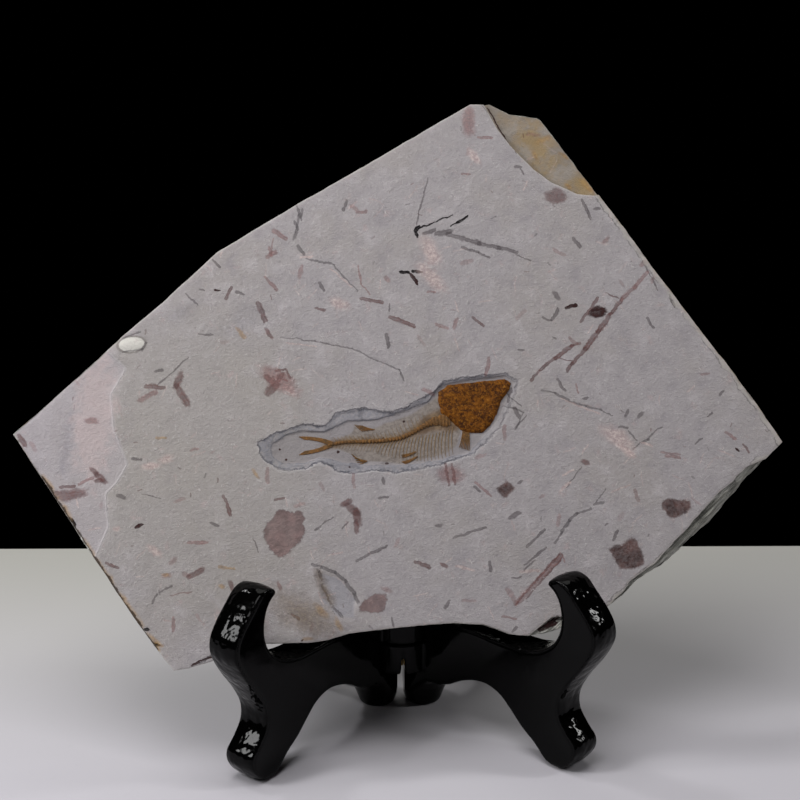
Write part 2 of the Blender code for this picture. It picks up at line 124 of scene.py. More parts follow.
BOTTOM_EDGE = (
    (69.0, 8.0), (60.0, 6.8), (52.0, 6.7), (47.5, 3.2), (43.3, 0.3), (39.5, 0.5), (36.0, 1.2),
    (32.5, 2.8), (27.0, 4.8), (14.5, 5.7), (-3.5, 4.8), (-21.5, 3.2), (-29.0, 1.2), (-36.0, 0.3),
    (-50.0, 0.5), (-58.0, 0.4), (-66.0, -2.6), (-72.0, -5.3), (-79.0, -7.2), (-85.0, -8.0),
)
LOW_BOTTOM = ((68.0, 7.0), (60.0, 4.4), (54.0, 2.0), (48.5, 0.9), (43.3, 0.2))
LOWER_LEFT_EDGE = (
    (-91.1, 0.0), (-97.9, 9.8), (-108.1, 25.9), (-116.6, 39.0), (-124.7, 52.4), (-131.5, 63.0),
)
LEFT_PANEL = (
    (-148.0, 78.0), (-112.0, 113.0), (-100.5, 101.5), (-106.0, 92.0), (-105.0, 79.0),
    (-100.3, 66.7), (-104.3, 60.0), (-108.3, 56.0), (-107.5, 44.0), (-113.0, 32.0), (-124.0, 40.0),
)
FLAKE = ((-33.0, 26.0), (-24.5, 23.0), (-18.8, 15.5), (-20.0, 8.5), (-26.0, 9.0), (-31.5, 15.5))
TROUGH_RIM = (
    (-53.4, 73.0), (-45.7, 76.6), (-36.1, 79.4), (-28.0, 78.6), (-24.0, 83.2), (-14.2, 84.9),
    (-8.4, 83.4), (-2.7, 83.0), (5.8, 86.8), (11.5, 90.0), (16.0, 94.0), (23.5, 95.2), (39.0, 96.4),
    (43.3, 93.6), (42.0, 89.0), (36.0, 77.0), (30.4, 71.2), (25.8, 67.6), (14.0, 63.5),
    (3.0, 62.0), (-2.1, 60.8), (-11.7, 62.2), (-21.9, 61.0), (-27.6, 64.0), (-31.0, 66.0),
    (-35.2, 63.2), (-44.7, 63.2), (-51.0, 67.0),
)
TROUGH_FLOOR = (
    (-48.5, 72.0), (-43.1, 75.8), (-36.8, 77.2), (-29.0, 76.6), (-20.1, 80.4), (-9.8, 80.6),
    (0.6, 83.5), (9.7, 86.9), (14.5, 92.6), (23.5, 94.4), (38.8, 95.7), (42.2, 93.3),
    (41.0, 89.6), (35.5, 79.0), (29.8, 73.0), (24.5, 67.8), (14.0, 65.2), (3.0, 63.6),
    (-11.7, 63.8), (-21.9, 65.0), (-30.6, 67.3), (-36.0, 65.2), (-44.0, 65.2), (-48.0, 67.8),
)
FISH_BODY = (
    (-27.6, 70.9), (-24.4, 73.4), (-18.5, 76.2), (-17.6, 79.0), (-14.4, 78.2), (-11.4, 77.4),
    (-6.0, 79.4), (0.0, 81.0), (3.8, 82.6), (8.4, 85.6), (13.6, 89.0), (22.0, 84.0),
    (21.3, 74.6), (19.6, 70.4), (15.6, 67.6), (10.9, 66.3), (4.0, 65.0), (-1.2, 64.1),
    (-7.8, 65.0), (-13.6, 65.5), (-18.0, 64.9), (-17.6, 67.1), (-22.0, 69.4),
)
FISH_HEAD = (
    (13.7, 90.2), (17.0, 92.8), (23.5, 93.4), (34.6, 94.3), (38.5, 94.7), (40.8, 93.0),
    (40.0, 90.6), (36.8, 86.4), (35.4, 82.5), (32.6, 77.6), (29.2, 74.8), (23.4, 74.9),
    (20.9, 76.4), (17.8, 79.7), (14.6, 82.2), (13.4, 87.0),
)
GILL_COVER = ((14.6, 88.4), (18.6, 91.4), (23.4, 89.0), (25.2, 82.6), (23.4, 77.2), (18.2, 80.8))
JAW = ((27.0, 80.0), (29.4, 84.4), (38.6, 92.4), (39.6, 91.0), (34.2, 82.6), (31.4, 78.2))
SPINE = (
    (18.0, 79.6), (14.6, 79.9), (10.7, 79.4), (6.8, 77.4), (2.9, 75.2), (-1.1, 73.6),
    (-7.5, 72.8), (-14.5, 72.7), (-20.3, 72.8), (-25.4, 72.2), (-28.2, 71.4),
)

# The boards' outlines, as (reach from the pin's axis, height).
FRONT_ARM = (
    (6.0, 42.4), (20.0, 42.6), (38.0, 42.6), (48.0, 42.4), (56.0, 42.5), (62.0, 43.2),
    (67.0, 44.6), (71.0, 46.9), (74.4, 50.2), (76.6, 55.0), (77.1, 60.0), (76.0, 65.0),
    (73.8, 68.2), (70.8, 70.4), (71.3, 72.7), (75.2, 74.1), (79.8, 72.9), (84.5, 68.6),
    (89.6, 63.4), (92.9, 58.2), (93.2, 52.2), (89.4, 44.6), (82.4, 34.8), (78.6, 27.6),
    (78.5, 21.6),
    (81.9, 16.6), (85.9, 12.2), (86.0, 7.6), (82.6, 2.4), (78.4, 0.0), (73.4, 0.0),
    (70.0, 2.8), (66.0, 6.6), (60.0, 10.8), (55.0, 15.4), (49.6, 19.9), (43.0, 21.9),
    (36.0, 21.0), (30.0, 18.6), (24.5, 15.4), (19.0, 14.0), (6.0, 14.0),
)
FRONT_ARM_CORNERS = (0, 29, 30, 40, 41)  # the points of FRONT_ARM that aren't rounded
BACK_PART = (
    (6.0, 20.5), (6.0, 42.8), (12.7, 47.0), (12.8, 70.0), (13.4, 95.0), (15.8, 116.0),
    (22.4, 133.0), (31.6, 149.6), (34.8, 153.6), (38.6, 152.6), (39.2, 147.6), (35.8, 139.6),
    (31.4, 128.0), (28.2, 110.0), (28.3, 85.0), (31.0, 62.0), (36.2, 42.0), (42.8, 26.0),
    (48.2, 14.4), (52.4, 6.4), (53.2, 2.4), (51.4, 0.0), (43.0, 0.0), (39.4, 3.6),
    (34.0, 12.4), (28.2, 18.6), (20.0, 20.5),
)
BACK_PART_CORNERS = (0, 1, 21, 22)

LEAF = (
    (-47.1, 47.7), (-44.6, 48.4), (-41.3, 47.2), (-38.4, 47.8), (-37.0, 45.2), (-37.8, 43.1),
    (-36.8, 40.5), (-38.3, 37.3), (-41.3, 34.5), (-43.6, 31.7), (-46.5, 31.0), (-48.9, 33.3),
    (-51.0, 37.0), (-51.6, 40.6), (-50.5, 43.5), (-48.6, 45.2),
)
SHELL = (
    (-17.7, 12.9), (-15.4, 15.3), (-12.1, 17.0), (-8.1, 16.9), (-7.8, 14.7), (-9.0, 11.5),
    (-11.2, 10.1), (-15.6, 10.6), (-17.7, 11.1),
)
PLATES = (
    ((73.8, 30.7), (79.1, 32.4), (82.9, 34.9), (85.1, 33.3), (87.3, 25.2), (85.4, 23.8),
     (82.4, 23.2), (77.9, 23.0), (76.6, 25.9)),
    ((37.3, 57.1), (40.8, 54.1), (36.6, 50.1), (33.8, 53.9)),
    ((94.4, 47.4), (97.1, 48.8), (101.5, 48.0), (105.3, 48.6), (105.8, 44.9), (103.5, 43.5),
     (101.2, 42.1), (98.1, 40.7), (96.4, 42.6), (94.6, 45.2)),
)

# Long marks on the slab's face: both ends (across, up) and the width.
STROKES = {
    Tone.INK: (
        (7.0, 150.8, 8.5, 152.3, 1.4), (8.2, 151.6, 14.2, 154.1, 0.7), (14.2, 154.1, 21.4, 156.7, 0.5),
        (20.1, 152.5, 23.6, 154.0, 0.5), (22.8, 153.6, 27.0, 156.2, 0.9), (0.9, 135.4, 4.2, 135.3, 1.1),
        (5.7, 135.7, 8.7, 135.3, 1.2), (-95.3, 6.8, -93.5, 6.7, 1.4),
        (-121.1, 46.9, -119.7, 44.7, 2.1), (-92.2, 1.7, -90.4, 1.3, 1.8),
        (7.4, 150.4, 7.7, 148.9, 1.1),
    ),
    Tone.HAZE: (
        (-65.2, 115.0, -50.4, 121.4, 11.4), (-50.8, 74.8, -49.5, 67.5, 4.3),
        (-120.7, 84.8, -123.6, 64.2, 6.2), (-84.1, 119.1, -73.0, 126.3, 7.1),
    ),
    Tone.SAND_AND_SHADE: (
        (-47.2, 15.9, -28.8, 3.9, 15.6), (-33.2, 25.6, -27.8, 13.9, 5.0),
        (-57.2, 16.3, -53.2, 6.1, 9.2),
    ),
    Tone.UMBER: (
        (-38.9, 1.4, -36.4, 1.6, 1.1), (-45.1, 70.6, -44.9, 70.6, 0.8),
        (-43.0, 66.6, -42.8, 66.5, 0.9),
        (-24.0, 69.0, -23.8, 69.0, 1.1), (-7.4, 73.7, -7.2, 73.7, 0.7),
        (0.2, 79.8, 0.3, 79.8, 0.7), (-6.6, 64.5, -5.9, 64.5, 0.7),
        # The four strokes from (35.8, 197.9) to (46.1, 180.0) are a painted shadow along the scar arc's
        # step.
        (-20.2, 63.4, -20.0, 63.4, 0.7), (35.8, 197.9, 37.6, 195.2, 0.5),
        (37.6, 195.2, 40.1, 190.5, 0.6), (40.1, 190.5, 42.9, 185.1, 0.6),
        # The two strokes from (-78.5, -6.6) to (-71.6, -3.6) are a painted shadow along the chipped
        # lower edge.
        (42.9, 185.1, 46.1, 180.0, 0.5), (-78.5, -6.6, -75.2, -4.9, 0.9),
        # The two strokes from (47.5, 2.1) to (54.3, 6.6) are painted shade on the lower laminae's edge
        # below the front face.
        (-75.2, -4.9, -71.6, -3.6, 0.8), (47.5, 2.1, 53.5, 4.8, 2.1), (49.7, 3.5, 54.3, 6.6, 1.8),
        (5.0, 134.6, 7.1, 130.8, 1.4), (62.3, 120.6, 66.1, 121.7, 1.4),
        (73.4, 118.9, 75.6, 119.3, 4.4), (-67.5, 130.0, -65.7, 129.6, 0.9),
        (-97.9, 43.5, -95.4, 44.5, 1.2), (123.6, 66.7, 124.4, 65.5, 0.8),
    ),
    Tone.SLATE: (
        (45.5, 174.7, 47.7, 174.6, 1.1), (47.3, 173.9, 48.7, 171.9, 0.6),
        (70.2, 161.6, 73.3, 154.3, 1.4), (66.2, 147.1, 69.0, 143.6, 1.6),
        (12.6, 170.9, 10.8, 164.5, 0.6), (10.8, 164.5, 8.7, 158.0, 0.6), (8.7, 158.0, 7.4, 151.9, 0.5),
        (10.3, 149.6, 14.5, 151.1, 1.8), (14.8, 149.5, 20.5, 150.6, 2.1),
        (18.9, 149.5, 31.1, 145.8, 2.0), (30.4, 145.8, 38.6, 143.8, 1.6),
        (37.8, 144.2, 44.9, 141.8, 1.4), (24.3, 144.4, 30.3, 142.4, 1.2),
        (30.2, 142.1, 34.7, 140.1, 0.9), (44.4, 141.0, 50.0, 139.0, 0.7),
        (-68.0, 141.2, -65.5, 138.2, 0.9), (-59.8, 129.1, -56.9, 128.3, 0.9),
        (-29.2, 132.2, -27.5, 128.8, 1.1), (-17.9, 163.0, -19.5, 159.2, 1.2),
        (-3.2, 123.8, -3.7, 120.5, 0.7), (-5.1, 112.2, -4.1, 107.4, 1.6),
        (-78.1, 128.7, -73.8, 124.5, 0.7), (-74.0, 113.7, -68.5, 113.2, 0.7),
        (-77.8, 105.3, -84.5, 98.8, 0.6), (-84.5, 98.8, -88.9, 95.2, 0.7),
        (-89.9, 100.4, -87.3, 100.3, 1.4), (-98.7, 68.4, -95.4, 67.9, 1.1),
        (-103.9, 55.4, -101.7, 54.3, 1.6), (-95.3, 55.6, -88.8, 53.9, 0.4),
        (-70.7, 44.4, -68.2, 43.2, 1.3), (-89.4, 20.1, -85.1, 22.1, 0.7),
        (-92.3, 15.9, -90.5, 19.5, 0.7), (-55.7, 38.5, -54.0, 33.4, 0.5),
        (-33.2, 40.8, -31.3, 41.8, 1.1), (-31.3, 42.2, -26.2, 45.3, 0.5),
        (-23.4, 41.2, -21.1, 43.3, 0.7), (-18.6, 29.1, -7.2, 34.2, 1.1), (-7.9, 59.0, -7.6, 57.2, 1.4),
        (-9.6, 51.8, -6.3, 52.0, 1.1), (-6.2, 8.5, -5.6, 4.6, 0.7), (25.4, 54.8, 27.5, 53.3, 1.1),
        (41.7, 55.9, 43.5, 56.6, 1.1), (38.5, 43.1, 41.6, 44.9, 1.8), (17.0, 36.4, 29.2, 40.1, 1.1),
        (30.2, 27.3, 30.4, 24.0, 1.3), (44.0, 32.4, 50.9, 38.4, 1.1), (42.6, 25.8, 51.0, 31.8, 0.9),
        (42.5, 24.0, 46.7, 27.5, 0.7), (65.6, 61.5, 59.3, 53.5, 0.5), (15.0, 13.6, 13.1, 11.2, 1.4),
        (37.7, 21.3, 41.3, 21.5, 0.7), (37.2, 1.7, 39.1, 3.1, 1.1), (58.1, 126.4, 59.5, 124.5, 2.0),
        (56.5, 116.2, 59.7, 120.3, 1.4), (53.2, 117.4, 56.5, 116.2, 0.9), (57.8, 94.0, 60.6, 89.5, 1.2),
        (67.2, 86.3, 69.1, 87.0, 0.9), (82.9, 79.6, 84.1, 81.8, 1.2), (87.4, 79.1, 89.3, 80.6, 1.6),
        (80.1, 75.6, 83.4, 75.1, 0.9), (101.4, 124.8, 103.5, 120.5, 0.9),
        (92.9, 136.3, 94.6, 132.5, 0.7), (94.6, 132.5, 97.3, 126.7, 0.5), (40.9, 91.1, 39.2, 85.9, 1.1),
        (41.3, 83.2, 43.4, 80.2, 1.6), (41.4, 76.2, 45.7, 80.9, 0.6), (75.8, 34.0, 77.9, 37.6, 1.1),
        (108.2, 68.6, 111.0, 70.7, 0.7), (113.7, 78.5, 115.6, 80.0, 0.7),
        (118.6, 86.6, 119.9, 88.1, 1.1), (74.6, 158.1, 76.9, 158.4, 1.2),
        (92.6, 116.2, 94.7, 112.8, 1.2), (44.1, 105.2, 45.9, 105.2, 0.9),
        (-73.0, 130.1, -71.1, 129.7, 0.7), (10.9, 41.3, 12.8, 41.3, 1.4),
    ),
    Tone.CRACK: (
        (33.9, 198.7, 36.1, 195.6, 0.6), (-36.9, 161.4, -35.2, 156.5, 1.1),
        (-35.9, 158.0, -37.2, 151.2, 0.9), (-75.6, -5.6, -70.9, -2.9, 1.1),
        (36.5, 91.9, 40.7, 87.3, 0.7), (40.7, 87.3, 44.3, 84.3, 0.7),
        (38.0, 84.4, 45.0, 82.0, 0.6), (45.0, 82.0, 41.7, 75.4, 0.6),
        (-34.7, 159.9, -35.2, 155.3, 0.9), (-37.8, 155.4, -36.4, 152.3, 1.2),
        (-36.8, 151.2, -38.0, 148.6, 1.8), (-36.6, 145.9, -34.5, 142.9, 1.4),
        (-34.1, 141.3, -27.9, 139.7, 0.7), (-28.6, 140.1, -23.5, 138.5, 0.9),
        (-23.5, 138.1, -19.2, 133.2, 0.7), (-19.2, 133.2, -14.9, 128.6, 0.6),
        (-44.1, 112.0, -37.5, 111.1, 0.5), (-37.9, 111.1, -30.9, 110.2, 0.6),
        (-31.3, 110.2, -24.3, 108.6, 0.6), (-24.7, 108.6, -17.8, 107.3, 0.6),
        (-17.8, 107.3, -8.3, 102.2, 0.6), (-8.3, 102.2, -0.3, 98.7, 0.6), (-0.7, 99.1, 1.0, 94.6, 0.6),
        (51.6, 90.1, 57.2, 88.8, 0.7), (56.8, 88.8, 61.9, 86.1, 1.1), (61.9, 85.7, 68.2, 83.7, 0.8),
        (67.8, 83.7, 73.7, 82.1, 0.9), (73.3, 82.1, 78.1, 80.1, 0.5), (54.4, 33.5, 57.1, 37.5, 0.9),
        (56.7, 37.1, 59.9, 41.4, 1.3), (59.5, 41.1, 63.4, 44.2, 1.1), (63.0, 43.9, 68.3, 45.9, 0.9),
        (69.4, 47.0, 73.2, 48.0, 0.9), (70.2, 47.7, 73.8, 52.8, 0.5), (83.8, 74.0, 86.9, 70.2, 0.7),
        (83.8, 66.6, 88.0, 69.4, 0.7), (87.7, 69.5, 91.1, 70.5, 1.1), (90.7, 70.5, 93.5, 73.8, 0.7),
        (93.5, 73.8, 96.2, 75.2, 0.6), (-34.6, 28.5, -31.4, 27.3, 1.4), (-31.7, 27.7, -26.0, 25.0, 1.4),
        (-26.4, 25.4, -22.5, 21.7, 1.4), (-22.8, 22.0, -19.4, 16.9, 1.6),
        (-19.7, 17.2, -18.4, 14.0, 1.4), (-32.8, 26.7, -31.1, 22.6, 1.1),
        (-31.2, 20.8, -28.5, 14.3, 0.9), (-28.5, 14.3, -24.3, 9.1, 1.2),
        (-101.6, 112.8, -94.7, 114.9, 0.6), (-101.7, 107.7, -94.1, 108.6, 0.7),
        (-94.4, 108.2, -93.0, 111.2, 0.9),
    ),
    Tone.BROWN: (
        (-45.9, 99.4, -42.9, 100.1, 1.2), (-42.2, 100.0, -40.8, 96.7, 1.1),
        (-45.2, 94.6, -42.4, 92.3, 1.1), (-47.0, 97.2, -45.6, 93.8, 1.1),
        (-44.1, 96.8, -41.9, 95.6, 0.9),
        (58.8, 163.3, 61.4, 163.3, 6.0), (-63.9, 126.5, -61.2, 131.0, 1.3),
        (-51.8, 124.8, -49.4, 118.0, 2.1), (-49.1, 115.0, -47.0, 111.7, 1.8),
        (-30.9, 122.5, -27.3, 121.7, 1.1), (-13.9, 125.9, -5.8, 123.9, 1.4),
        (-3.4, 118.6, 5.8, 114.6, 1.6), (-93.2, 94.9, -87.1, 94.1, 2.1),
        (-80.5, 99.1, -82.4, 94.3, 3.0), (-82.0, 94.7, -78.5, 88.0, 3.0),
        (-139.0, 78.1, -136.9, 74.1, 2.1), (-113.4, 65.5, -111.3, 62.9, 2.1),
        (-111.6, 63.3, -108.5, 60.3, 2.5), (-112.0, 61.1, -109.2, 60.7, 1.8),
        (-126.4, 55.7, -116.4, 56.5, 4.6), (-124.5, 58.9, -119.5, 59.1, 1.4),
        (-108.5, 31.1, -104.2, 29.2, 1.2), (-78.9, 25.2, -74.2, 27.6, 2.5),
        (-65.8, 54.0, -63.8, 47.1, 1.4), (-47.7, 52.1, -44.1, 52.7, 1.1),
        (-22.7, 49.9, -19.8, 51.0, 2.1), (-20.9, 49.2, -17.4, 46.5, 3.0),
        (-18.1, 47.3, -17.1, 42.9, 3.0), (-18.2, 43.3, -17.9, 40.0, 2.1),
        (-42.3, 10.8, -39.8, 8.5, 1.1), (-64.3, 22.9, -63.3, 20.0, 1.8), (15.1, 63.9, 16.2, 55.5, 1.1),
        (17.6, 63.9, 18.4, 56.1, 1.1), (2.8, 28.1, 7.8, 26.2, 1.8), (12.2, 27.1, 14.0, 26.0, 1.6),
        (39.1, 11.8, 56.0, 29.4, 0.9), (42.8, 13.5, 56.7, 28.0, 0.8), (66.1, 63.3, 67.9, 62.5, 2.0),
        (27.4, 117.9, 31.4, 114.5, 1.1), (67.4, 115.2, 71.3, 120.1, 1.2),
        (71.7, 120.1, 74.5, 124.2, 1.2), (77.6, 126.0, 82.8, 123.6, 0.7),
        (83.6, 123.6, 78.8, 117.6, 1.7), (79.1, 118.0, 73.9, 111.3, 2.1),
        (74.3, 111.7, 68.8, 105.0, 2.1), (69.2, 105.4, 63.6, 99.5, 1.8), (63.7, 99.9, 61.7, 96.9, 1.4),
        (67.0, 107.3, 63.2, 106.3, 1.4), (64.3, 106.6, 57.4, 101.9, 1.8),
        (57.8, 102.3, 51.6, 97.5, 1.4), (51.6, 97.5, 47.7, 93.5, 1.1), (59.2, 101.5, 63.7, 100.6, 0.6),
        (126.3, 67.7, 128.4, 65.1, 1.1), (-49.0, 91.3, -43.7, 97.5, 3.5),
        (-49.9, 97.3, -46.3, 95.0, 2.5),
    ),
    Tone.MAUVE: (
        (28.5, 196.1, 28.7, 189.5, 5.7), (32.0, 186.4, 37.2, 185.9, 1.2),
        (25.4, 172.3, 28.4, 172.2, 0.9), (-48.5, 142.0, -44.8, 143.8, 1.8),
        (-47.3, 145.7, -46.3, 142.3, 1.3), (-45.7, 149.1, -46.2, 144.9, 0.7),
        (-45.7, 152.1, -41.3, 148.6, 1.8), (-49.0, 134.5, -44.7, 129.5, 1.3),
        (-14.7, 158.0, -11.0, 158.7, 1.4), (-14.6, 138.3, -13.7, 131.2, 0.9),
        (-13.7, 131.2, -10.5, 127.0, 0.5), (10.7, 127.7, 14.0, 127.6, 0.9),
        (-95.5, 89.8, -89.6, 92.6, 2.5), (-118.1, 59.8, -112.7, 62.2, 1.1),
        (-79.1, 37.4, -71.9, 37.6, 1.4), (-85.8, 18.9, -78.0, 19.8, 0.6),
        (-84.9, 10.7, -85.0, 6.1, 1.4), (-47.0, 22.1, -46.0, 19.9, 1.4), (15.3, 59.9, 18.2, 59.8, 7.8),
        (39.1, 11.8, 56.4, 28.7, 2.5), (33.8, 7.3, 38.9, 6.4, 0.9), (20.2, 113.6, 21.5, 117.3, 1.8),
        (32.8, 102.5, 31.4, 96.1, 1.6), (64.8, 92.0, 65.4, 88.6, 0.9), (93.9, 133.7, 88.3, 127.7, 1.6),
        (88.7, 128.4, 83.2, 123.2, 1.8), (95.3, 65.9, 102.4, 64.6, 0.9), (97.1, 64.4, 102.3, 63.5, 1.4),
        (120.1, 72.7, 123.7, 69.7, 1.3), (25.8, 56.3, 31.5, 51.4, 1.1),
        (-115.0, 83.0, -111.4, 82.5, 2.5), (56.1, 30.2, 57.4, 26.5, 0.7),
        (-49.5, 99.1, -40.2, 93.0, 7.8),
    ),
    Tone.OCHRE: (
        (-89.9, 75.8, -86.3, 75.7, 1.1), (-88.2, 26.2, -86.1, 25.8, 1.8),
        (-60.1, 115.7, -56.9, 111.9, 1.8), (-68.1, 28.4, -62.7, 27.9, 1.4),
        (-67.5, 21.6, -66.8, 21.2, 1.8), (-38.6, 1.7, -35.3, 1.6, 1.8), (-26.5, 8.8, -24.8, 4.5, 2.5),
        (-93.9, 5.3, -89.0, 0.9, 2.5), (54.6, 184.2, 59.2, 186.4, 3.2), (52.2, 181.1, 54.3, 178.0, 2.5),
        (62.7, 180.2, 66.4, 177.8, 2.1), (71.0, 169.3, 74.9, 164.6, 3.2),
        (64.5, 167.8, 66.7, 166.6, 2.1), (-33.4, 13.4, -30.2, 9.8, 3.4),
        (-55.1, 63.2, -53.3, 60.3, 1.8),
    ),
    Tone.CREAM: (
        (-40.9, 93.7, -39.1, 91.1, 2.1), (-43.5, 91.6, -41.3, 90.4, 1.1),
        (-105.5, 43.2, -103.7, 43.2, 2.1),
        (-87.9, 67.7, -84.6, 68.4, 3.5), (-94.4, 65.3, -89.4, 65.6, 3.2),
        (-23.9, 124.6, -20.2, 123.0, 5.3), (11.0, 146.6, 14.4, 138.9, 7.1),
        (8.4, 137.5, 16.3, 129.1, 6.4), (75.2, 74.6, 83.2, 69.2, 7.1), (79.4, 68.6, 85.2, 64.7, 3.2),
        (-43.1, 94.1, -39.5, 90.7, 3.2), (-92.7, 36.0, -89.2, 33.7, 3.2), (76.0, 51.6, 83.2, 54.4, 0.7),
        (58.4, 58.4, 62.6, 60.1, 1.1), (57.0, 52.1, 60.9, 55.7, 1.4), (-25.0, 137.4, -17.1, 130.1, 0.8),
        (-41.9, 109.7, -31.0, 108.3, 0.7), (-36.0, 141.4, -31.5, 142.0, 1.1),
        (87.7, 69.8, 92.1, 68.2, 1.1), (58.6, 86.9, 73.2, 80.6, 0.9), (41.0, 23.3, 48.4, 23.8, 1.4),
        (17.7, 26.2, 24.2, 24.6, 1.1), (28.7, 181.4, 31.6, 176.8, 3.5),
    ),
}


def srgb(red: int, green: int, blue: int) -> tuple[float, float, float, float]:
    """A display colour of 0 to 255 as the linear colour that a shader takes.

    Args:
        red: The red share.
        green: The green share.
        blue: The blue share.

    Returns:
        Linear red, green, blue and an alpha of 1.
    """
    shares = (value / 255 for value in (red, green, blue))
    linear = (s / 12.92 if s <= 0.04045 else ((s + 0.055) / 1.055) ** 2.4 for s in shares)
    return (*linear, 1.0)


@dataclass(frozen=True)
class MarkLook:
    """How the marks of one tone look."""

    shade: tuple[float, float, float, float]
    strength: float
    sharpness: float


MARK_LOOKS = {
    Tone.HAZE: MarkLook(srgb(128, 130, 142), 0.3, 0.7),
    # Darker than the stain itself: this tone also paints the shade beside the left hook.
    Tone.SAND_AND_SHADE: MarkLook(srgb(122, 107, 86), 0.78, 0.8),
    Tone.CREAM: MarkLook(srgb(214, 194, 188), 0.66, 1.1),
    Tone.MAUVE: MarkLook(srgb(136, 98, 95), 0.64, 1.5),
    Tone.OCHRE: MarkLook(srgb(172, 136, 76), 0.6, 1.0),
    Tone.BROWN: MarkLook(srgb(96, 58, 55), 0.74, 1.8),
    Tone.CRACK: MarkLook(srgb(88, 85, 87), 0.7, 1.6),
    Tone.SLATE: MarkLook(srgb(72, 64, 67), 0.68, 1.8),
    Tone.UMBER: MarkLook(srgb(58, 34, 33), 1.15, 2.2),
    Tone.INK: MarkLook(srgb(20, 15, 17), 1.2, 2.6),
}


def smooth_step(low: float, high: float, value: Array) -> Array:
    """Rises from 0 at low to 1 at high along the cubic 3t^2 - 2t^3."""
    share = np.clip((value - low) / (high - low), 0.0, 1.0)
    return share * share * (3 - 2 * share)


def lattice(column: Array, row: Array, seed: int) -> Array:
    """A fixed number from -1 to 1 for each whole column and row: an integer hash."""
    code = column.astype(np.uint64) * np.uint64(374761393)
    code += row.astype(np.uint64) * np.uint64(668265263)
    code += np.uint64(seed * 2246822519 + 3266489917)
    code &= np.uint64(0xFFFFFFFF)
    code ^= code >> np.uint64(13)
    code = (code * np.uint64(1274126177)) & np.uint64(0xFFFFFFFF)
    code ^= code >> np.uint64(16)
    return (code & np.uint64(0xFFFF)).astype(float) / 32767.5 - 1


def noise(x: Array, y: Array | float, size: float, seed: int, octaves: int = 1) -> Array:
    """Value noise: lattice numbers blended by smooth steps, with each octave half as big.

    Args:
        x: First coordinate.
        y: Second coordinate.
        size: Width of one lattice cell of the first octave.
        seed: Picks the lattice.
        octaves: How many layers are added.

    Returns:
        Values from about -1 to 1.
    """
    total = np.zeros(np.broadcast(x, y).shape)
    scale, weight = size, 1.0
    for octave in range(octaves):
        across = np.broadcast_to(x, total.shape) / scale + 4096.0
        up = np.broadcast_to(y, total.shape) / scale + 4096.0
        column, row = np.floor(across), np.floor(up)
        s = smooth_step(0.0, 1.0, across - column)
        t = smooth_step(0.0, 1.0, up - row)
        low = lattice(column, row, seed + octave) * (1 - s)
        low += lattice(column + 1, row, seed + octave) * s
        high = lattice(column, row + 1, seed + octave) * (1 - s)
        high += lattice(column + 1, row + 1, seed + octave) * s
        total += weight * (low * (1 - t) + high * t)
        scale, weight = scale / 2, weight / 2
    return total / (2 - 2.0 ** (1 - octaves))


def path_distance(x: Array, y: Array, path: Path) -> Array:
    """Distance to the nearest stretch of a path: each stretch's closest point is clamped to it."""
    best = np.full(x.shape, np.inf)
    for (x0, y0), (x1, y1) in zip(path[:-1], path[1:]):
        run_x, run_y = x1 - x0, y1 - y0
        share = ((x - x0) * run_x + (y - y0) * run_y) / max(run_x**2 + run_y**2, 1e-12)
        share = np.clip(share, 0.0, 1.0)
        best = np.minimum(best, np.hypot(x - x0 - share * run_x, y - y0 - share * run_y))
    return best


def outline_distance(x: Array, y: Array, outline: Path) -> Array:
    """Distance to a closed outline, negative inside, by counting the edges crossed sideways."""
    closed = [*outline, outline[0]]
    inside = np.zeros(x.shape, bool)
    for (x0, y0), (x1, y1) in zip(closed[:-1], closed[1:]):
        if y0 == y1:
            continue
        crossing = x0 + (y - y0) * (x1 - x0) / (y1 - y0)
        inside ^= ((y0 > y) != (y1 > y)) & (x < crossing)
    return np.where(inside, -1.0, 1.0) * path_distance(x, y, closed)


def resampled(path: Path, step: float) -> Array:
    """Points about one step apart along a path's straight stretches, with its own points kept."""
    points = [np.asarray(path[0], float)[None]]
    for start, end in zip(path[:-1], path[1:]):
        a, b = np.asarray(start, float), np.asarray(end, float)
        count = max(1, round(float(np.linalg.norm(b - a)) / step))
        share = np.arange(1, count + 1)[:, None] / count
        points.append(a + (b - a) * share)
    return np.concatenate(points)


def rounded(outline: Path, corners: Sequence[int], pieces: int) -> Array:
    """A closed outline with its points joined by Catmull-Rom curves, except at its corners.

    Each stretch is the cubic Hermite curve between two points. The tangent at a point is half the
    step between its neighbours, and at a corner it runs straight along the stretch.

    Args:
        outline: The closed outline's points.
        corners: Indices of the points that stay sharp.
        pieces: Steps in each stretch.

    Returns:
        The points, one row each.
    """
    points = np.asarray(outline, float)
    before, after = np.roll(points, 1, 0), np.roll(points, -1, 0)
    tangent = (after - before) / 2
    leaving, arriving = tangent.copy(), np.roll(tangent, -1, 0).copy()
    run = after - points
    for corner in corners:
        leaving[corner] = run[corner]
        arriving[corner - 1] = run[corner - 1]
    length = np.linalg.norm(run, axis=1, keepdims=True)
    leaving *= np.minimum(1.0, length / np.linalg.norm(leaving, axis=1, keepdims=True))
    arriving *= np.minimum(1.0, length / np.linalg.norm(arriving, axis=1, keepdims=True))
    t = (np.arange(pieces) / pieces)[None, :, None]
    p0, p1 = points[:, None], after[:, None]
    m0, m1 = leaving[:, None], arriving[:, None]
    curve = (2 * t**3 - 3 * t**2 + 1) * p0 + (t**3 - 2 * t**2 + t) * m0
    curve = curve + (3 * t**2 - 2 * t**3) * p1 + (t**3 - t**2) * m1
    return curve.reshape(-1, 2)


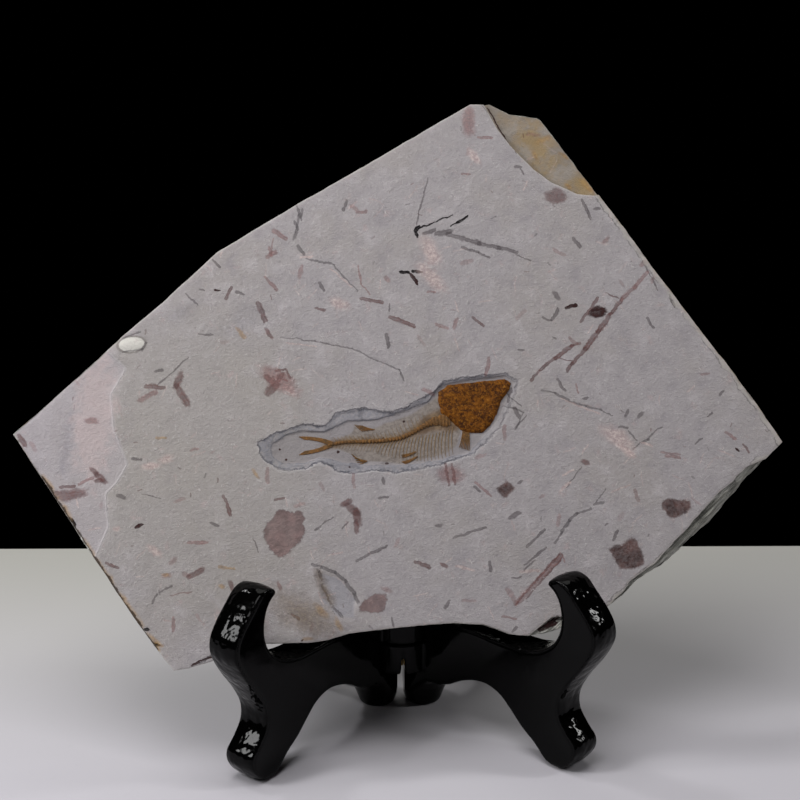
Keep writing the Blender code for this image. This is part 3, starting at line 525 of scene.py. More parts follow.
def on_slab(across: Array, up: Array, out: Array) -> Array:
    """Places in the slab's frame, in millimetres, turned back by its lean and set on the stand."""
    x = SLAB_ORIGIN[0] + across
    y = SLAB_ORIGIN[1] + up * math.sin(LEAN) - out * math.cos(LEAN)
    z = SLAB_ORIGIN[2] + up * math.cos(LEAN) + out * math.sin(LEAN)
    return np.stack([x, y, z], -1)


def linked(name: str, data: bpy.types.ID) -> bpy.types.Object:
    """A new object with that mesh, lamp or camera, in the scene."""
    obj = bpy.data.objects.new(name, data)
    bpy.context.scene.collection.objects.link(obj)
    return obj


def store(mesh: bpy.types.Mesh, name: str, values: Array) -> None:
    """Stores a number for each of the mesh's points, for a finish to read."""
    layer = mesh.attributes.new(name, "FLOAT", "POINT")
    layer.data.foreach_set("value", values.astype(np.float32))


@dataclass
class Surface:
    """Points in millimetres and the faces on them, ready to become one mesh object."""

    points: Array
    faces: list[list[int]]

    def volume(self) -> float:
        """Signed volume: a sixth of the sum of corner products, over fans of each face."""
        total = 0.0
        for size in {len(face) for face in self.faces}:
            corners = self.points[np.array([f for f in self.faces if len(f) == size])]
            for step in range(1, size - 1):
                a, b, c = corners[:, 0], corners[:, step], corners[:, step + 1]
                total += float(np.einsum("ij,ij->", a, np.cross(b, c)))
        return total / 6

    def outward(self) -> "Surface":
        """The surface with its faces turned to point out of the solid."""
        if self.volume() < 0:
            return Surface(self.points, [face[::-1] for face in self.faces])
        return self

    def made(self, name: str, material: bpy.types.Material, sharp: float) -> bpy.types.Object:
        """Makes the object at the origin.

        Args:
            name: The object's name.
            material: Its one material.
            sharp: Edges that bend more than this many degrees stay sharp.

        Returns:
            The linked object.
        """
        mesh = bpy.data.meshes.new(name)
        mesh.from_pydata((self.points * MM).tolist(), [], self.faces)
        mesh.shade_smooth()
        mesh.set_sharp_from_angle(angle=math.radians(sharp))
        mesh.materials.append(material)
        return linked(name, mesh)


def ring_surface(rings: Sequence[Array]) -> Surface:
    """Quads between rings of equal size that follow one another, and a fan over each end.

    Args:
        rings: Arrays of points, one ring each.

    Returns:
        The closed surface. Its last two points are the middles of the first and last rings.
    """
    count, size = len(rings), len(rings[0])
    row = np.arange(count - 1)[:, None] * size
    here = np.arange(size)[None, :]
    there = (here + 1) % size
    quads = np.stack([row + here, row + there, row + size + there, row + size + here], -1)
    faces = quads.reshape(-1, 4).tolist()
    first, last, end = count * size, count * size + 1, (count - 1) * size
    faces += [[first, (i + 1) % size, i] for i in range(size)]
    faces += [[last, end + i, end + (i + 1) % size] for i in range(size)]
    middles = [rings[0].mean(0)[None], rings[-1].mean(0)[None]]
    return Surface(np.concatenate([*rings, *middles]), faces).outward()


def tube(path: Array, radii: Array, flat: Any, sides: int, out: Array) -> Surface:
    """A rod along a path in the slab's plane: at each point an ellipse across the path.

    Args:
        path: The path's points, across and up.
        radii: Half its width at each point.
        flat: Its height above the slab's face as a share of its width, one or for each point.
        sides: Points round the rod.
        out: Height of its middle at each point.

    Returns:
        The closed surface.
    """
    run = np.gradient(path, axis=0)
    run /= np.linalg.norm(run, axis=1, keepdims=True) + 1e-9
    turn = np.linspace(0, 2 * math.pi, sides, endpoint=False)
    wide = np.cos(turn)[None, :] * radii[:, None]
    high = np.sin(turn)[None, :] * (radii * flat)[:, None] + out[:, None]
    across = path[:, :1] - run[:, 1:] * wide
    up = path[:, 1:] + run[:, :1] * wide
    return ring_surface(list(on_slab(across, up, high)))


class Value:
    """A number worked out by a material's nodes: operators on it add Math nodes."""

    def __init__(self, tree: bpy.types.NodeTree, socket: bpy.types.NodeSocket) -> None:
        """Wraps one output socket of the tree."""
        self.tree = tree
        self.socket = socket

    def math(self, operation: str, *others: Any, reflected: bool = False) -> "Value":
        """A Math node on this value and others, or with the first other in front of it."""
        node = self.tree.nodes.new("ShaderNodeMath")
        node.operation = operation
        terms = [others[0], self] if reflected else [self, *others]
        for socket, term in zip(node.inputs, terms):
            if isinstance(term, Value):
                self.tree.links.new(term.socket, socket)
            else:
                socket.default_value = term
        return Value(self.tree, node.outputs[0])

    def __add__(self, other: Any) -> "Value":
        """self + other."""
        return self.math("ADD", other)

    __radd__ = __add__

    def __mul__(self, other: Any) -> "Value":
        """self * other."""
        return self.math("MULTIPLY", other)

    __rmul__ = __mul__

    def __sub__(self, other: Any) -> "Value":
        """self - other."""
        return self.math("SUBTRACT", other)

    def __rsub__(self, other: Any) -> "Value":
        """other - self."""
        return self.math("SUBTRACT", other, reflected=True)

    def __truediv__(self, other: Any) -> "Value":
        """self / other."""
        return self.math("DIVIDE", other)

    def __abs__(self) -> "Value":
        """The size of the value."""
        return self.math("ABSOLUTE")

    def least(self, other: Any) -> "Value":
        """The smaller of two values."""
        return self.math("MINIMUM", other)

    def most(self, other: Any) -> "Value":
        """The larger of two values."""
        return self.math("MAXIMUM", other)

    def rise(self, low: float, high: float) -> "Value":
        """A smooth rise from 0 at low to 1 at high. With low above high it falls instead."""
        node = self.tree.nodes.new("ShaderNodeMapRange")
        node.interpolation_type = "SMOOTHSTEP"
        self.tree.links.new(self.socket, node.inputs["Value"])
        lower, upper = min(low, high), max(low, high)
        node.inputs["From Min"].default_value = lower
        node.inputs["From Max"].default_value = upper
        node.inputs["To Min"].default_value = 0.0 if low < high else 1.0
        node.inputs["To Max"].default_value = 1.0 if low < high else 0.0
        return Value(self.tree, node.outputs["Result"])


class Finish:
    """A material under construction: coats of colour on a base, and helpers for its nodes."""

    name: str
    base: tuple[float, float, float, float]

    def __init__(self) -> None:
        """Starts a material with a Principled surface and the base as its colour so far."""
        self.material = bpy.data.materials.new(self.name)
        self.material.use_nodes = True
        self.tree = self.material.node_tree
        self.surface = self.tree.nodes["Principled BSDF"]
        self.colour: Any = self.base

    def node(self, kind: str, settings: dict[str, Any], inputs: dict[Any, Any]) -> Any:
        """Adds a node.

        Args:
            kind: Its type, without the ShaderNode in front.
            settings: Properties set on it before its sockets.
            inputs: Its sockets' values, or the outputs linked to them.

        Returns:
            The node.
        """
        node = self.tree.nodes.new("ShaderNode" + kind)
        for key, setting in settings.items():
            setattr(node, key, setting)
        for key, given in inputs.items():
            given = given.socket if isinstance(given, Value) else given
            if isinstance(given, bpy.types.NodeSocket):
                self.tree.links.new(given, node.inputs[key])
            else:
                node.inputs[key].default_value = given
        return node

    def value(self, node: Any, output: Any = 0) -> Value:
        """One output of a node as a number."""
        return Value(self.tree, node.outputs[output])

    def parts(self, vector: Any) -> list[Value]:
        """The three parts of a vector."""
        node = self.node("SeparateXYZ", {}, {0: vector})
        return [self.value(node, index) for index in range(3)]

    def attribute(self, name: str) -> Value:
        """A number stored on the mesh."""
        return self.value(self.node("Attribute", {"attribute_name": name}, {}), "Fac")

    def object_place(self) -> Any:
        """The place on the object, in metres."""
        return self.node("TexCoord", {}, {}).outputs["Object"]

    def mapped(self, place: Any, size: Point, turn: Point = (0, 0, 0),
               centre: Point = (0, 0, 0)) -> Any:
        """Places seen from a frame with that unit size, turn and centre."""
        inputs = {"Vector": place, "Location": centre, "Rotation": turn, "Scale": size}
        return self.node("Mapping", {"vector_type": "TEXTURE"}, inputs).outputs[0]

    def millimetres(self) -> Any:
        """The place on the object, in millimetres."""
        return self.mapped(self.object_place(), (MM, MM, MM))

    def noise(self, place: Any, size: float, detail: float = 3.0, rough: float = 0.5,
              swirl: float = 0.0, output: str = "Fac") -> Any:
        """Noise whose main lumps are one size across, in the place's own unit."""
        inputs = {"Vector": place, "Scale": 1 / size, "Detail": detail, "Roughness": rough,
                  "Distortion": swirl}
        node = self.node("TexNoise", {}, inputs)
        return self.value(node) if output == "Fac" else node.outputs[output]

    def mix(self, share: Any, first: Any, second: Any, blend: str = "MIX") -> Any:
        """Goes from one colour to another by a share of 0 to 1."""
        settings = {"data_type": "RGBA", "blend_type": blend}
        return self.node("Mix", settings, {0: share, 6: first, 7: second}).outputs[2]

    def coat(self, share: Any, shade: Any) -> None:
        """Lays a shade over the colour so far, by a share of 0 to 1."""
        self.colour = self.mix(share, self.colour, shade)

    def moved(self, place: Any, amount: Any, length: float) -> Any:
        """Places shifted by a noise colour, up to about half a length each way."""
        centred = self.node("VectorMath", {"operation": "SUBTRACT"}, {0: amount, 1: (0.5,) * 3})
        inputs = {0: centred.outputs[0], 1: (length,) * 3, 2: place}
        return self.node("VectorMath", {"operation": "MULTIPLY_ADD"}, inputs).outputs[0]

    def bump(self, height: Value, depth: float, under: Any = None) -> Any:
        """A normal from a height in units of one depth, in metres, on top of another normal."""
        inputs = {"Height": height, "Distance": depth, "Strength": 1.0}
        if under is not None:
            inputs["Normal"] = under
        return self.node("Bump", {}, inputs).outputs[0]

    def set(self, name: str, given: Any) -> None:
        """Links one input of the surface, or sets it."""
        given = given.socket if isinstance(given, Value) else given
        if isinstance(given, bpy.types.NodeSocket):
            self.tree.links.new(given, self.surface.inputs[name])
        else:
            self.surface.inputs[name].default_value = given

    def done(self, specular: float = 0.5) -> bpy.types.Material:
        """Sets the colour and the strength of the mirroring, and gives the material."""
        self.set("Base Color", self.colour)
        self.set("Specular IOR Level", specular)
        return self.material


@dataclass
class SlabStone:
    """The split stone: one closed surface of rings round a middle point.

    Each ring has a point on every spoke. The first rings lie on the front face, the next ones
    step down the broken rim sheet by sheet, and the last ones cross the back.
    """

    centre: tuple[float, float] = (3.0, 76.0)
    spokes: int = 620
    depths: tuple[float, ...] = (0.0, -1.4, -3.2, -5.0, -7.0)  # the laminae's faces
    steps: tuple[float, ...] = (2.8, 0.1, -1.3, -2.1)  # how far each lower right edge stands back
    inward: Point = (-0.64, 0.77)  # across that edge, into the slab
    sheets: int = 3  # thin sheets in each lamina
    trough_step: float = 0.5
    panel_step: float = 0.45
    flake_step: float = 0.5
    pebble: tuple = ((-98.4, 110.0), (4.6, 2.4))  # its middle, and half its width and height
    waves: tuple = (  # each one's height, size and seed
        (0.10, 32.0, Seed.WAVES),
        (0.05, 7.0, Seed.WAVES + 1),
        (0.035, 2.2, Seed.WAVES + 2),
    )
    flecks: tuple = (  # how many, of which tone, and their greatest length and width
        (190, Tone.CREAM, 6.0, 0.8),
        (70, Tone.SLATE, 2.0, 0.7),
        (50, Tone.BROWN, 1.8, 0.7),
        (60, Tone.MAUVE, 5.0, 2.2),
    )

    def outline(self, lamina: int) -> list[tuple[float, float]]:
        """The outline of one lamina, clockwise: only the front one lacks the top corner."""
        last = len(LOWER_RIGHT_EDGE) - 1
        edge = []
        for index, (x, y) in enumerate(LOWER_RIGHT_EDGE):
            fading = ((last - index) / last) ** 1.6 * 1.5 + 0.12
            back = min(1.0, index / 1.5, fading) * self.steps[lamina]
            edge.append((x + self.inward[0] * back, y + self.inward[1] * back))
        corner = SCAR_ARC if lamina == 0 else LOW_CORNER
        bottom = BOTTOM_EDGE if lamina == 0 else (*LOW_BOTTOM, *BOTTOM_EDGE[len(LOW_BOTTOM):])
        return [*UPPER_LEFT_EDGE, *corner, *UPPER_RIGHT_EDGE, *edge, *bottom, *LOWER_LEFT_EDGE]

    def spoke_angles(self) -> Array:
        """Evenly spread angles, with those of every corner of every lamina added."""
        laminae = range(len(self.steps))
        corners = np.array([point for k in laminae for point in self.outline(k)])
        corners = corners - self.centre
        even = np.linspace(-math.pi, math.pi, self.spokes, endpoint=False)
        angles = np.sort(np.concatenate([even, np.arctan2(corners[:, 1], corners[:, 0])]))
        return angles[np.diff(angles, prepend=-9.0) > 0.002]

    def reach(self, lamina: int, angles: Array) -> Array:
        """How far a lamina goes along each spoke: its outline in polar form, read off."""
        outline = self.outline(lamina)
        dense = resampled([*outline, outline[0]], 0.3)[:-1] - self.centre
        turn = np.arctan2(dense[:, 1], dense[:, 0])
        return np.interp(angles, turn, np.hypot(dense[:, 0], dense[:, 1]), period=2 * math.pi)

    def along(self, angles: Array, reach: Array) -> tuple[Array, Array]:
        """The points at those distances on the spokes."""
        return (self.centre[0] + np.cos(angles) * reach, self.centre[1] + np.sin(angles) * reach)

    def relief(self, x: Array, y: Array, fields: dict[str, Array]) -> Array:
        """Height of the front face: slow waves and grain, less the hollows' smooth steps."""
        high = np.zeros(x.shape)
        for height, size, seed in self.waves:
            high += height * noise(x, y, size, seed, 2)
        ragged = 0.3 * noise(x, y, 2.4, Seed.RAGGED, 2)
        high -= self.trough_step * smooth_step(0.3, -0.5, fields["rim"] + ragged)
        high -= self.trough_step * smooth_step(0.25, -0.35, fields["floor"] + ragged * 0.5)
        high -= self.panel_step * smooth_step(0.5, -0.7, fields["panel"])
        high -= self.flake_step * smooth_step(0.3, -0.9, fields["flake"])
        (left, low), (wide, tall) = self.pebble
        pebble = np.hypot((x - left) / wide, (y - low) / tall)
        high += 0.35 * smooth_step(1.05, 0.5, pebble)
        high -= 0.3 * smooth_step(0.35, 0.0, abs(pebble - 1.25))
        return high - 0.22 * smooth_step(0.5, 0.0, fields["split"])

    def fields(self, x: Array, y: Array) -> dict[str, Array]:
        """Distances to the outlines and splits on the front face, negative inside outlines."""
        outlines = {"rim": TROUGH_RIM, "floor": TROUGH_FLOOR, "film": FISH_BODY,
                    "panel": LEFT_PANEL, "flake": FLAKE}
        fields = {name: outline_distance(x, y, outline) for name, outline in outlines.items()}
        fields["leaf"] = np.minimum(outline_distance(x, y, LEAF), outline_distance(x, y, SHELL))
        fields["plate"] = np.full(x.shape, FAR)
        for outline in PLATES:
            fields["plate"] = np.minimum(fields["plate"], outline_distance(x, y, outline))
        fields["split"] = np.full(x.shape, FAR)
        for x0, y0, x1, y1, _ in STROKES[Tone.CRACK]:
            near = path_distance(x, y, ((x0, y0), (x1, y1)))
            fields["split"] = np.minimum(fields["split"], near)
        fields["spine"] = path_distance(x, y, SPINE) - 2.6 * smooth_step(0.0, 16.0, x)
        fields["rusty_edge"] = path_distance(x, y, LOWER_LEFT_EDGE)
        fields["flaked_edge"] = np.minimum(path_distance(x, y, UPPER_RIGHT_EDGE),
                                           path_distance(x, y, LOWER_RIGHT_EDGE))
        return fields

    def rims(self, angles: Array) -> list[Array]:
        """How far each lamina goes along the spokes, with chips broken out of its edge."""
        rims = []
        for lamina in range(len(self.steps)):
            reach = self.reach(lamina, angles)
            x, y = self.along(angles, reach)
            broken = smooth_step(9, 3, path_distance(x, y, LOWER_RIGHT_EDGE))
            wavy = (0.22 + 0.55 * broken) * noise(x, y, 4.5, Seed.RIM + lamina, 4)
            bitten = np.maximum(0, noise(x, y, 9, Seed.BITES + lamina, 2) - 0.2)
            rims.append(reach + (wavy - (0.25 + 1.5 * broken) * bitten))
        return rims

    def front_rings(self, angles: Array, rim: Array) -> Iterator[Ring]:
        """The front face's rings, closest together at the rim, which is chipped."""
        shares = np.concatenate([
            np.linspace(0.01, 0.36, 44, endpoint=False),
            np.linspace(0.36, 0.955, 42, endpoint=False),
            np.linspace(0.955, 1.0, 9),
        ])
        for share in shares:
            x, y = self.along(angles, rim * share)
            inset = rim * (1 - share)
            high = self.relief(x, y, self.fields(x, y))
            chipped = np.maximum(0, noise(x, y, 5, Seed.CHIPS, 3)) * smooth_step(2.6, 0.2, inset)
            right = smooth_step(2.5, 0.5, path_distance(x, y, UPPER_RIGHT_EDGE))
            high = high - chipped * (0.25 + 0.9 * right) - 0.18 * smooth_step(0.5, 0, inset)
            yield x, y, high, inset

    def wall_rings(self, angles: Array, rim: Array, lamina: int) -> Iterator[Ring]:
        """Both edges of each of a lamina's thin sheets, which stand back a little unevenly."""
        top, low = self.depths[lamina], self.depths[lamina + 1]
        for sheet in range(self.sheets):
            seed = Seed.SHEETS + 7 * lamina + sheet
            x, y = self.along(angles, rim)
            back = 0.55 * np.maximum(0, 0.25 + noise(x, y, 8, seed, 3))
            back = back + 0.12 * noise(x, y, 1.3, seed + 40, 2)
            edges = [(top + (low - top) * sheet / self.sheets, 0.0),
                     (top + (low - top) * (sheet + 1) / self.sheets, 0.05)]
            if lamina == sheet == 0:  # its upper edge is the front face's own last ring
                back, edges = np.zeros_like(angles), edges[1:]
            for depth, more in edges:
                x, y = self.along(angles, rim - back - more)
                high = depth + 0.06 * noise(x, y, 6, seed + 80)
                yield x, y, high, np.full(angles.shape, WALL)

    def corner_rings(self, angles: Array, rims: list[Array]) -> Iterator[Ring]:
        """The second lamina's face, which is bare where the front one lacks its corner."""
        beyond = np.maximum(rims[1], rims[0] - 0.3)
        for share in np.linspace(0.06, 0.97, 12):
            x, y = self.along(angles, rims[0] * (1 - share) + beyond * share)
            torn = smooth_step(0.1, 0.3, noise(x, y, 16, Seed.CORNER + 1))
            dip = 0.1 * noise(x, y, 12, Seed.CORNER, 3) - 0.12 * torn
            yield x, y, self.depths[1] + dip, np.full(angles.shape, BARE)

    def back_rings(self, angles: Array, rim: Array) -> Iterator[Ring]:
        """The back's rings, gently uneven."""
        deepest = self.depths[-1]
        for share in (0.985, 0.95, 0.9, 0.82, 0.72, 0.6, 0.46, 0.3, 0.14, 0.02):
            x, y = self.along(angles, rim * share)
            high = deepest + 0.3 * noise(x, y, 22, Seed.BACK, 3) - 0.25 * noise(
                x, y, 6, Seed.BACK + 1)
            yield x, y, np.minimum(high, deepest + 0.2), np.full(angles.shape, BEHIND)

    def rings(self) -> list[Ring]:
        """Every ring, from the front's middle over the rim to the back's middle."""
        angles = self.spoke_angles()
        rims = self.rims(angles)
        rings = list(self.front_rings(angles, rims[0]))
        for lamina, rim in enumerate(rims):
            rings += self.wall_rings(angles, rim, lamina)
            if lamina == 0:
                rings += self.corner_rings(angles, rims)
        return rings + list(self.back_rings(angles, rims[-1]))

    def marks(self) -> tuple[Array, Array]:
        """Every mark as (middle, half run, half width) and as (red, green, blue, strength, sharp).

        Small flecks and scuffs are added to the long marks at seeded random places.
        """
        random = np.random.default_rng(Seed.MARKS)
        shapes, looks = [], []
        for tone, strokes in STROKES.items():
            look = MARK_LOOKS[tone]
            for stroke in strokes:
                shapes.append(stroke)
                tint = np.array(look.shade[:3]) * random.uniform(0.88, 1.15)
                looks.append((*tint, look.strength, look.sharpness))
        for count, tone, long, wide in self.flecks:
            look = MARK_LOOKS[tone]
            x, y = random.uniform(-138, 138, count), random.uniform(2, 190, count)
            turn = random.uniform(0, math.pi, count)
            run = random.uniform(long * 0.3, long, count) / 2
            thick = random.uniform(wide * 0.5, wide, count)
            away = outline_distance(x, y, TROUGH_RIM) > 1.0
            across, up = np.cos(turn) * run, np.sin(turn) * run
            rows = np.stack([x - across, y - up, x + across, y + up, thick], -1)[away]
            shapes += rows.tolist()
            shade = np.array(look.shade[:3])
            looks += [(*shade * random.uniform(0.85, 1.2), look.strength * random.uniform(0.4, 0.9),
                       look.sharpness) for _ in rows]
        ends = np.array(shapes)
        middle = (ends[:, :2] + ends[:, 2:4]) / 2
        half = (ends[:, 2:4] - ends[:, :2]) / 2
        return np.concatenate([middle, half, ends[:, 4:] / 2], 1), np.array(looks)

    def nearest_marks(self, x: Array, y: Array, shapes: Array) -> Array:
        """The indices of the nearest and the second nearest mark to each place.

        A mark's distance is that to its middle line, less half its width.
        """
        nearest = np.full((2, len(x)), OFF_MARK)
        chosen = np.zeros((2, len(x)), np.int32)
        for index, (mx, my, hx, hy, wide) in enumerate(shapes):
            run = math.hypot(hx, hy) + 1e-6
            along = ((x - mx) * hx + (y - my) * hy) / run
            across = ((y - my) * hx - (x - mx) * hy) / run
            far = np.hypot(np.maximum(abs(along) - run, 0), across) - wide
            first = far < nearest[0]
            second = ~first & (far < nearest[1])
            nearest[1] = np.where(first, nearest[0], np.where(second, far, nearest[1]))
            chosen[1] = np.where(first, chosen[0], np.where(second, index, chosen[1]))
            nearest[0] = np.where(first, far, nearest[0])
            chosen[0] = np.where(first, index, chosen[0])
        return chosen

    def store_marks(self, mesh: bpy.types.Mesh, x: Array, y: Array, on_face: Array) -> None:
        """Stores at each face's corners its place in the frames of the two nearest marks.

        A place is (along, across) from the mark's middle, so it is linear over a face and the
        finish can draw the mark sharper than the mesh is fine.
        """
        shapes, looks = self.marks()
        corner_point = np.empty(len(mesh.loops), np.int32)
        mesh.loops.foreach_get("vertex_index", corner_point)
        total = np.empty(len(mesh.polygons), np.int32)
        mesh.polygons.foreach_get("loop_total", total)
        face_of = np.repeat(np.arange(len(total)), total)
        x, y = x[corner_point], y[corner_point]
        chosen = self.nearest_marks(np.bincount(face_of, x) / total,
                                    np.bincount(face_of, y) / total, shapes)
        off = np.bincount(face_of, on_face[corner_point]) != total
        for layer in range(2):
            mark = shapes[chosen[layer]][face_of]
            run = np.hypot(mark[:, 2], mark[:, 3]) + 1e-6
            dx, dy = x - mark[:, 0], y - mark[:, 1]
            along = (dx * mark[:, 2] + dy * mark[:, 3]) / run
            across = (dy * mark[:, 2] - dx * mark[:, 3]) / run
            across[off[face_of]] = OFF_MARK
            look = looks[chosen[layer]][face_of]
            for name, columns in (
                ("place", (along, across, look[:, 4])),
                ("size", (run, mark[:, 4], look[:, 3])),
                ("tint", (look[:, 0], look[:, 1], look[:, 2])),
            ):
                stored = mesh.attributes.new(f"mark{layer}_{name}", "FLOAT_VECTOR", "CORNER")
                rows = np.stack(columns, -1).astype(np.float32)
                stored.data.foreach_set("vector", rows.ravel())

    def build(self, material: bpy.types.Material) -> bpy.types.Object:
        """Makes the slab and stores the distances that its finish reads."""
        rings = self.rings()
        surface = ring_surface([on_slab(x, y, high) for x, y, high, _ in rings])
        obj = surface.made("slab_stone", material, 38)
        x, y, _, inset = (np.concatenate(parts) for parts in zip(*rings))
        x, y = np.append(x, [self.centre[0]] * 2), np.append(y, [self.centre[1]] * 2)
        inset = np.append(inset, [60.0, BEHIND])  # the two middles, far in from the rim
        for name, near in self.fields(x, y).items():
            store(obj.data, name, np.where(inset >= 0, near, FAR))
        store(obj.data, "inset", inset)
        self.store_marks(obj.data, x, y, (inset >= 0) | (inset == BARE))
        return obj


class Mudstone(Finish):
    """Split grey mudstone with plant scraps, stains and the trough cut round the fish."""

    name = "mudstone"
    base = srgb(162, 157, 158)

    def __init__(self) -> None:
        """Makes the places, in millimetres in the slab's frame, and noises that coats share."""
        super().__init__()
        centre = [value * MM for value in SLAB_ORIGIN]
        turn = (math.pi / 2 - LEAN, 0.0, 0.0)
        self.place = self.mapped(self.object_place(), (MM, MM, MM), turn, centre)
        swirl = self.noise(self.place, 2.6, 3, output="Color")
        self.shift = self.moved((0.0, 0.0, 0.0), swirl, 1.6)
        self.inset = self.attribute("inset")
        self.on_face = self.inset.rise(-0.9, -0.1)
        self.broad = self.noise(self.place, 38.0, 3, 0.55)
        self.patch = self.noise(self.place, 8.0, 5, 0.62)
        self.rosy = self.noise(self.place, 5.0, 4, 0.65)
        self.ragged = self.noise(self.place, 1.3, 4, 0.68)
        self.grain = self.noise(self.place, 0.5, 2, 0.6)

    def spot(self, middle: Point, size: Point, turn: float) -> Value:
        """1 at the middle of a turned ellipse on the face, falling evenly to 0 at its outline."""
        node = self.node("TexGradient", {"gradient_type": "SPHERICAL"}, {"Vector": self.place})
        mapping = node.texture_mapping
        mapping.vector_type = "TEXTURE"
        mapping.translation, mapping.rotation = (*middle, 0.0), (0.0, 0.0, turn)
        mapping.scale = (*size, SPOT_DEPTH)
        return self.value(node, "Fac")

    def bed(self) -> Value:
        """The plain stone: its patches and grain, and scuffs with a painted highlight, which are
        returned.
        """
        self.coat(self.broad.rise(0.45, 0.62) * 0.5, srgb(160, 154, 150))
        self.coat(self.patch.rise(0.5, 0.72) * 0.6, srgb(182, 176, 178))
        self.coat(self.patch.rise(0.5, 0.3) * 0.6, srgb(146, 141, 144))
        middle = self.spot((-78.0, 66.0), (66.0, 78.0), 0.2)
        green = (middle + (0.5 - self.patch) * 0.6).rise(0.1, 0.55)
        self.coat(green * 0.45, srgb(158, 153, 145))
        self.coat(self.ragged.rise(0.57, 0.7) * 0.45, srgb(198, 192, 192))
        self.coat(self.ragged.rise(0.43, 0.3) * 0.42, srgb(128, 122, 124))
        self.coat(self.rosy.rise(0.58, 0.72) * 0.35, srgb(166, 148, 146))
        # Painted light: pale scuff lines are highlights painted on small ridges, and the dark line just
        # beside each one is their painted shadow.
        wisps = self.noise(self.place, 6.0, 3, 0.6, 1.6)
        lit_scuffs = abs(wisps - 0.5).rise(0.018, 0.0) * self.rosy.rise(0.52, 0.66)
        self.coat(lit_scuffs * 0.6, srgb(204, 200, 199))
        scuff_shadow = abs(wisps - 0.47).rise(0.016, 0.0) * self.patch.rise(0.48, 0.64)
        self.coat(scuff_shadow * 0.35, srgb(118, 112, 114))
        return lit_scuffs

    def pebble(self) -> None:
        """The white pebble and the dark seam round it."""
        pebble = self.spot((-98.2, 110.4), (6.2, 3.6), 0.1) + (self.ragged - 0.5) * 0.12
        self.coat(pebble.rise(0.02, 0.16) * 0.55, srgb(118, 112, 106))
        self.coat(pebble.rise(0.2, 0.3), srgb(206, 203, 196))

    def panel(self) -> Value:
        """The paler left panel with its pinkish band, and its edge, which is returned."""
        panel = self.attribute("panel")
        wobble = (self.patch - 0.5) * 3.0
        self.coat((panel + wobble * 0.4).rise(0.4, -0.6) * 0.45, srgb(176, 169, 174))
        band = self.spot((-112.0, 84.0), (11.0, 34.0), -0.12)
        pinkish = (band + (self.rosy - 0.5) * 1.4).rise(0.1, 0.6)
        self.coat(pinkish * (0.3 + 0.5 * self.rosy), srgb(190, 173, 172))
        ridge = abs(panel + wobble * 0.2)
        self.coat(ridge.rise(0.9, 0.1) * 0.35, srgb(188, 183, 186))
        return ridge

    def trough(self) -> tuple[Value, Value]:
        """The prepared slope and floor round the fish, and the film of its body.

        Returns:
            The distances to the rim and to the floor's outline, made ragged.
        """
        rough_edge = (self.ragged - 0.5) * 2.0 + (self.rosy - 0.5) * 3.0
        rim = self.attribute("rim") + rough_edge
        floor = self.attribute("floor") + rough_edge * 0.5
        film = self.attribute("film") + rough_edge * 0.4
        beyond = self.spot((44.0, 78.0), (24.0, 30.0), 0.5)
        cut = 1.0 - (beyond + (0.5 - self.patch) * 0.5).rise(0.15, 0.5) * 0.65
        prepared = rim.rise(0.35, -0.1) * floor.rise(-0.3, 0.15) * cut
        self.coat(prepared * (0.2 + self.ragged.rise(0.35, 0.62) * 0.5), srgb(124, 125, 133))
        self.coat(prepared * self.rosy.rise(0.52, 0.66) * 0.55, srgb(96, 97, 105))
        broken = (self.rosy + self.patch * 0.6).rise(0.62, 0.86)
        self.coat(abs(rim).rise(0.6, 0.0) * (0.25 + 0.6 * broken) * cut, srgb(92, 92, 100))
        self.coat(abs(rim - 0.6).rise(0.4, 0.05) * 0.3 * cut, srgb(192, 188, 190))
        bottom = floor.rise(0.1, -0.3) * cut
        self.coat(bottom * (0.4 + 0.5 * self.ragged), srgb(138, 133, 134))
        self.coat(abs(floor).rise(0.32, 0.06) * (0.15 + 0.45 * broken) * cut,
                  srgb(108, 108, 116))
        stain = (self.attribute("spine") + rough_edge * 0.5).rise(2.6, 0.2)
        flesh = self.mix(self.ragged.rise(0.4, 0.6), srgb(120, 110, 100), srgb(145, 135, 125))
        self.coat(film.rise(0.4, -0.6) * 0.72, flesh)
        brown = self.mix(self.rosy.rise(0.42, 0.6), srgb(98, 72, 44), srgb(134, 108, 76))
        self.coat(stain * (0.45 + 0.6 * self.ragged), brown)
        return rim, floor

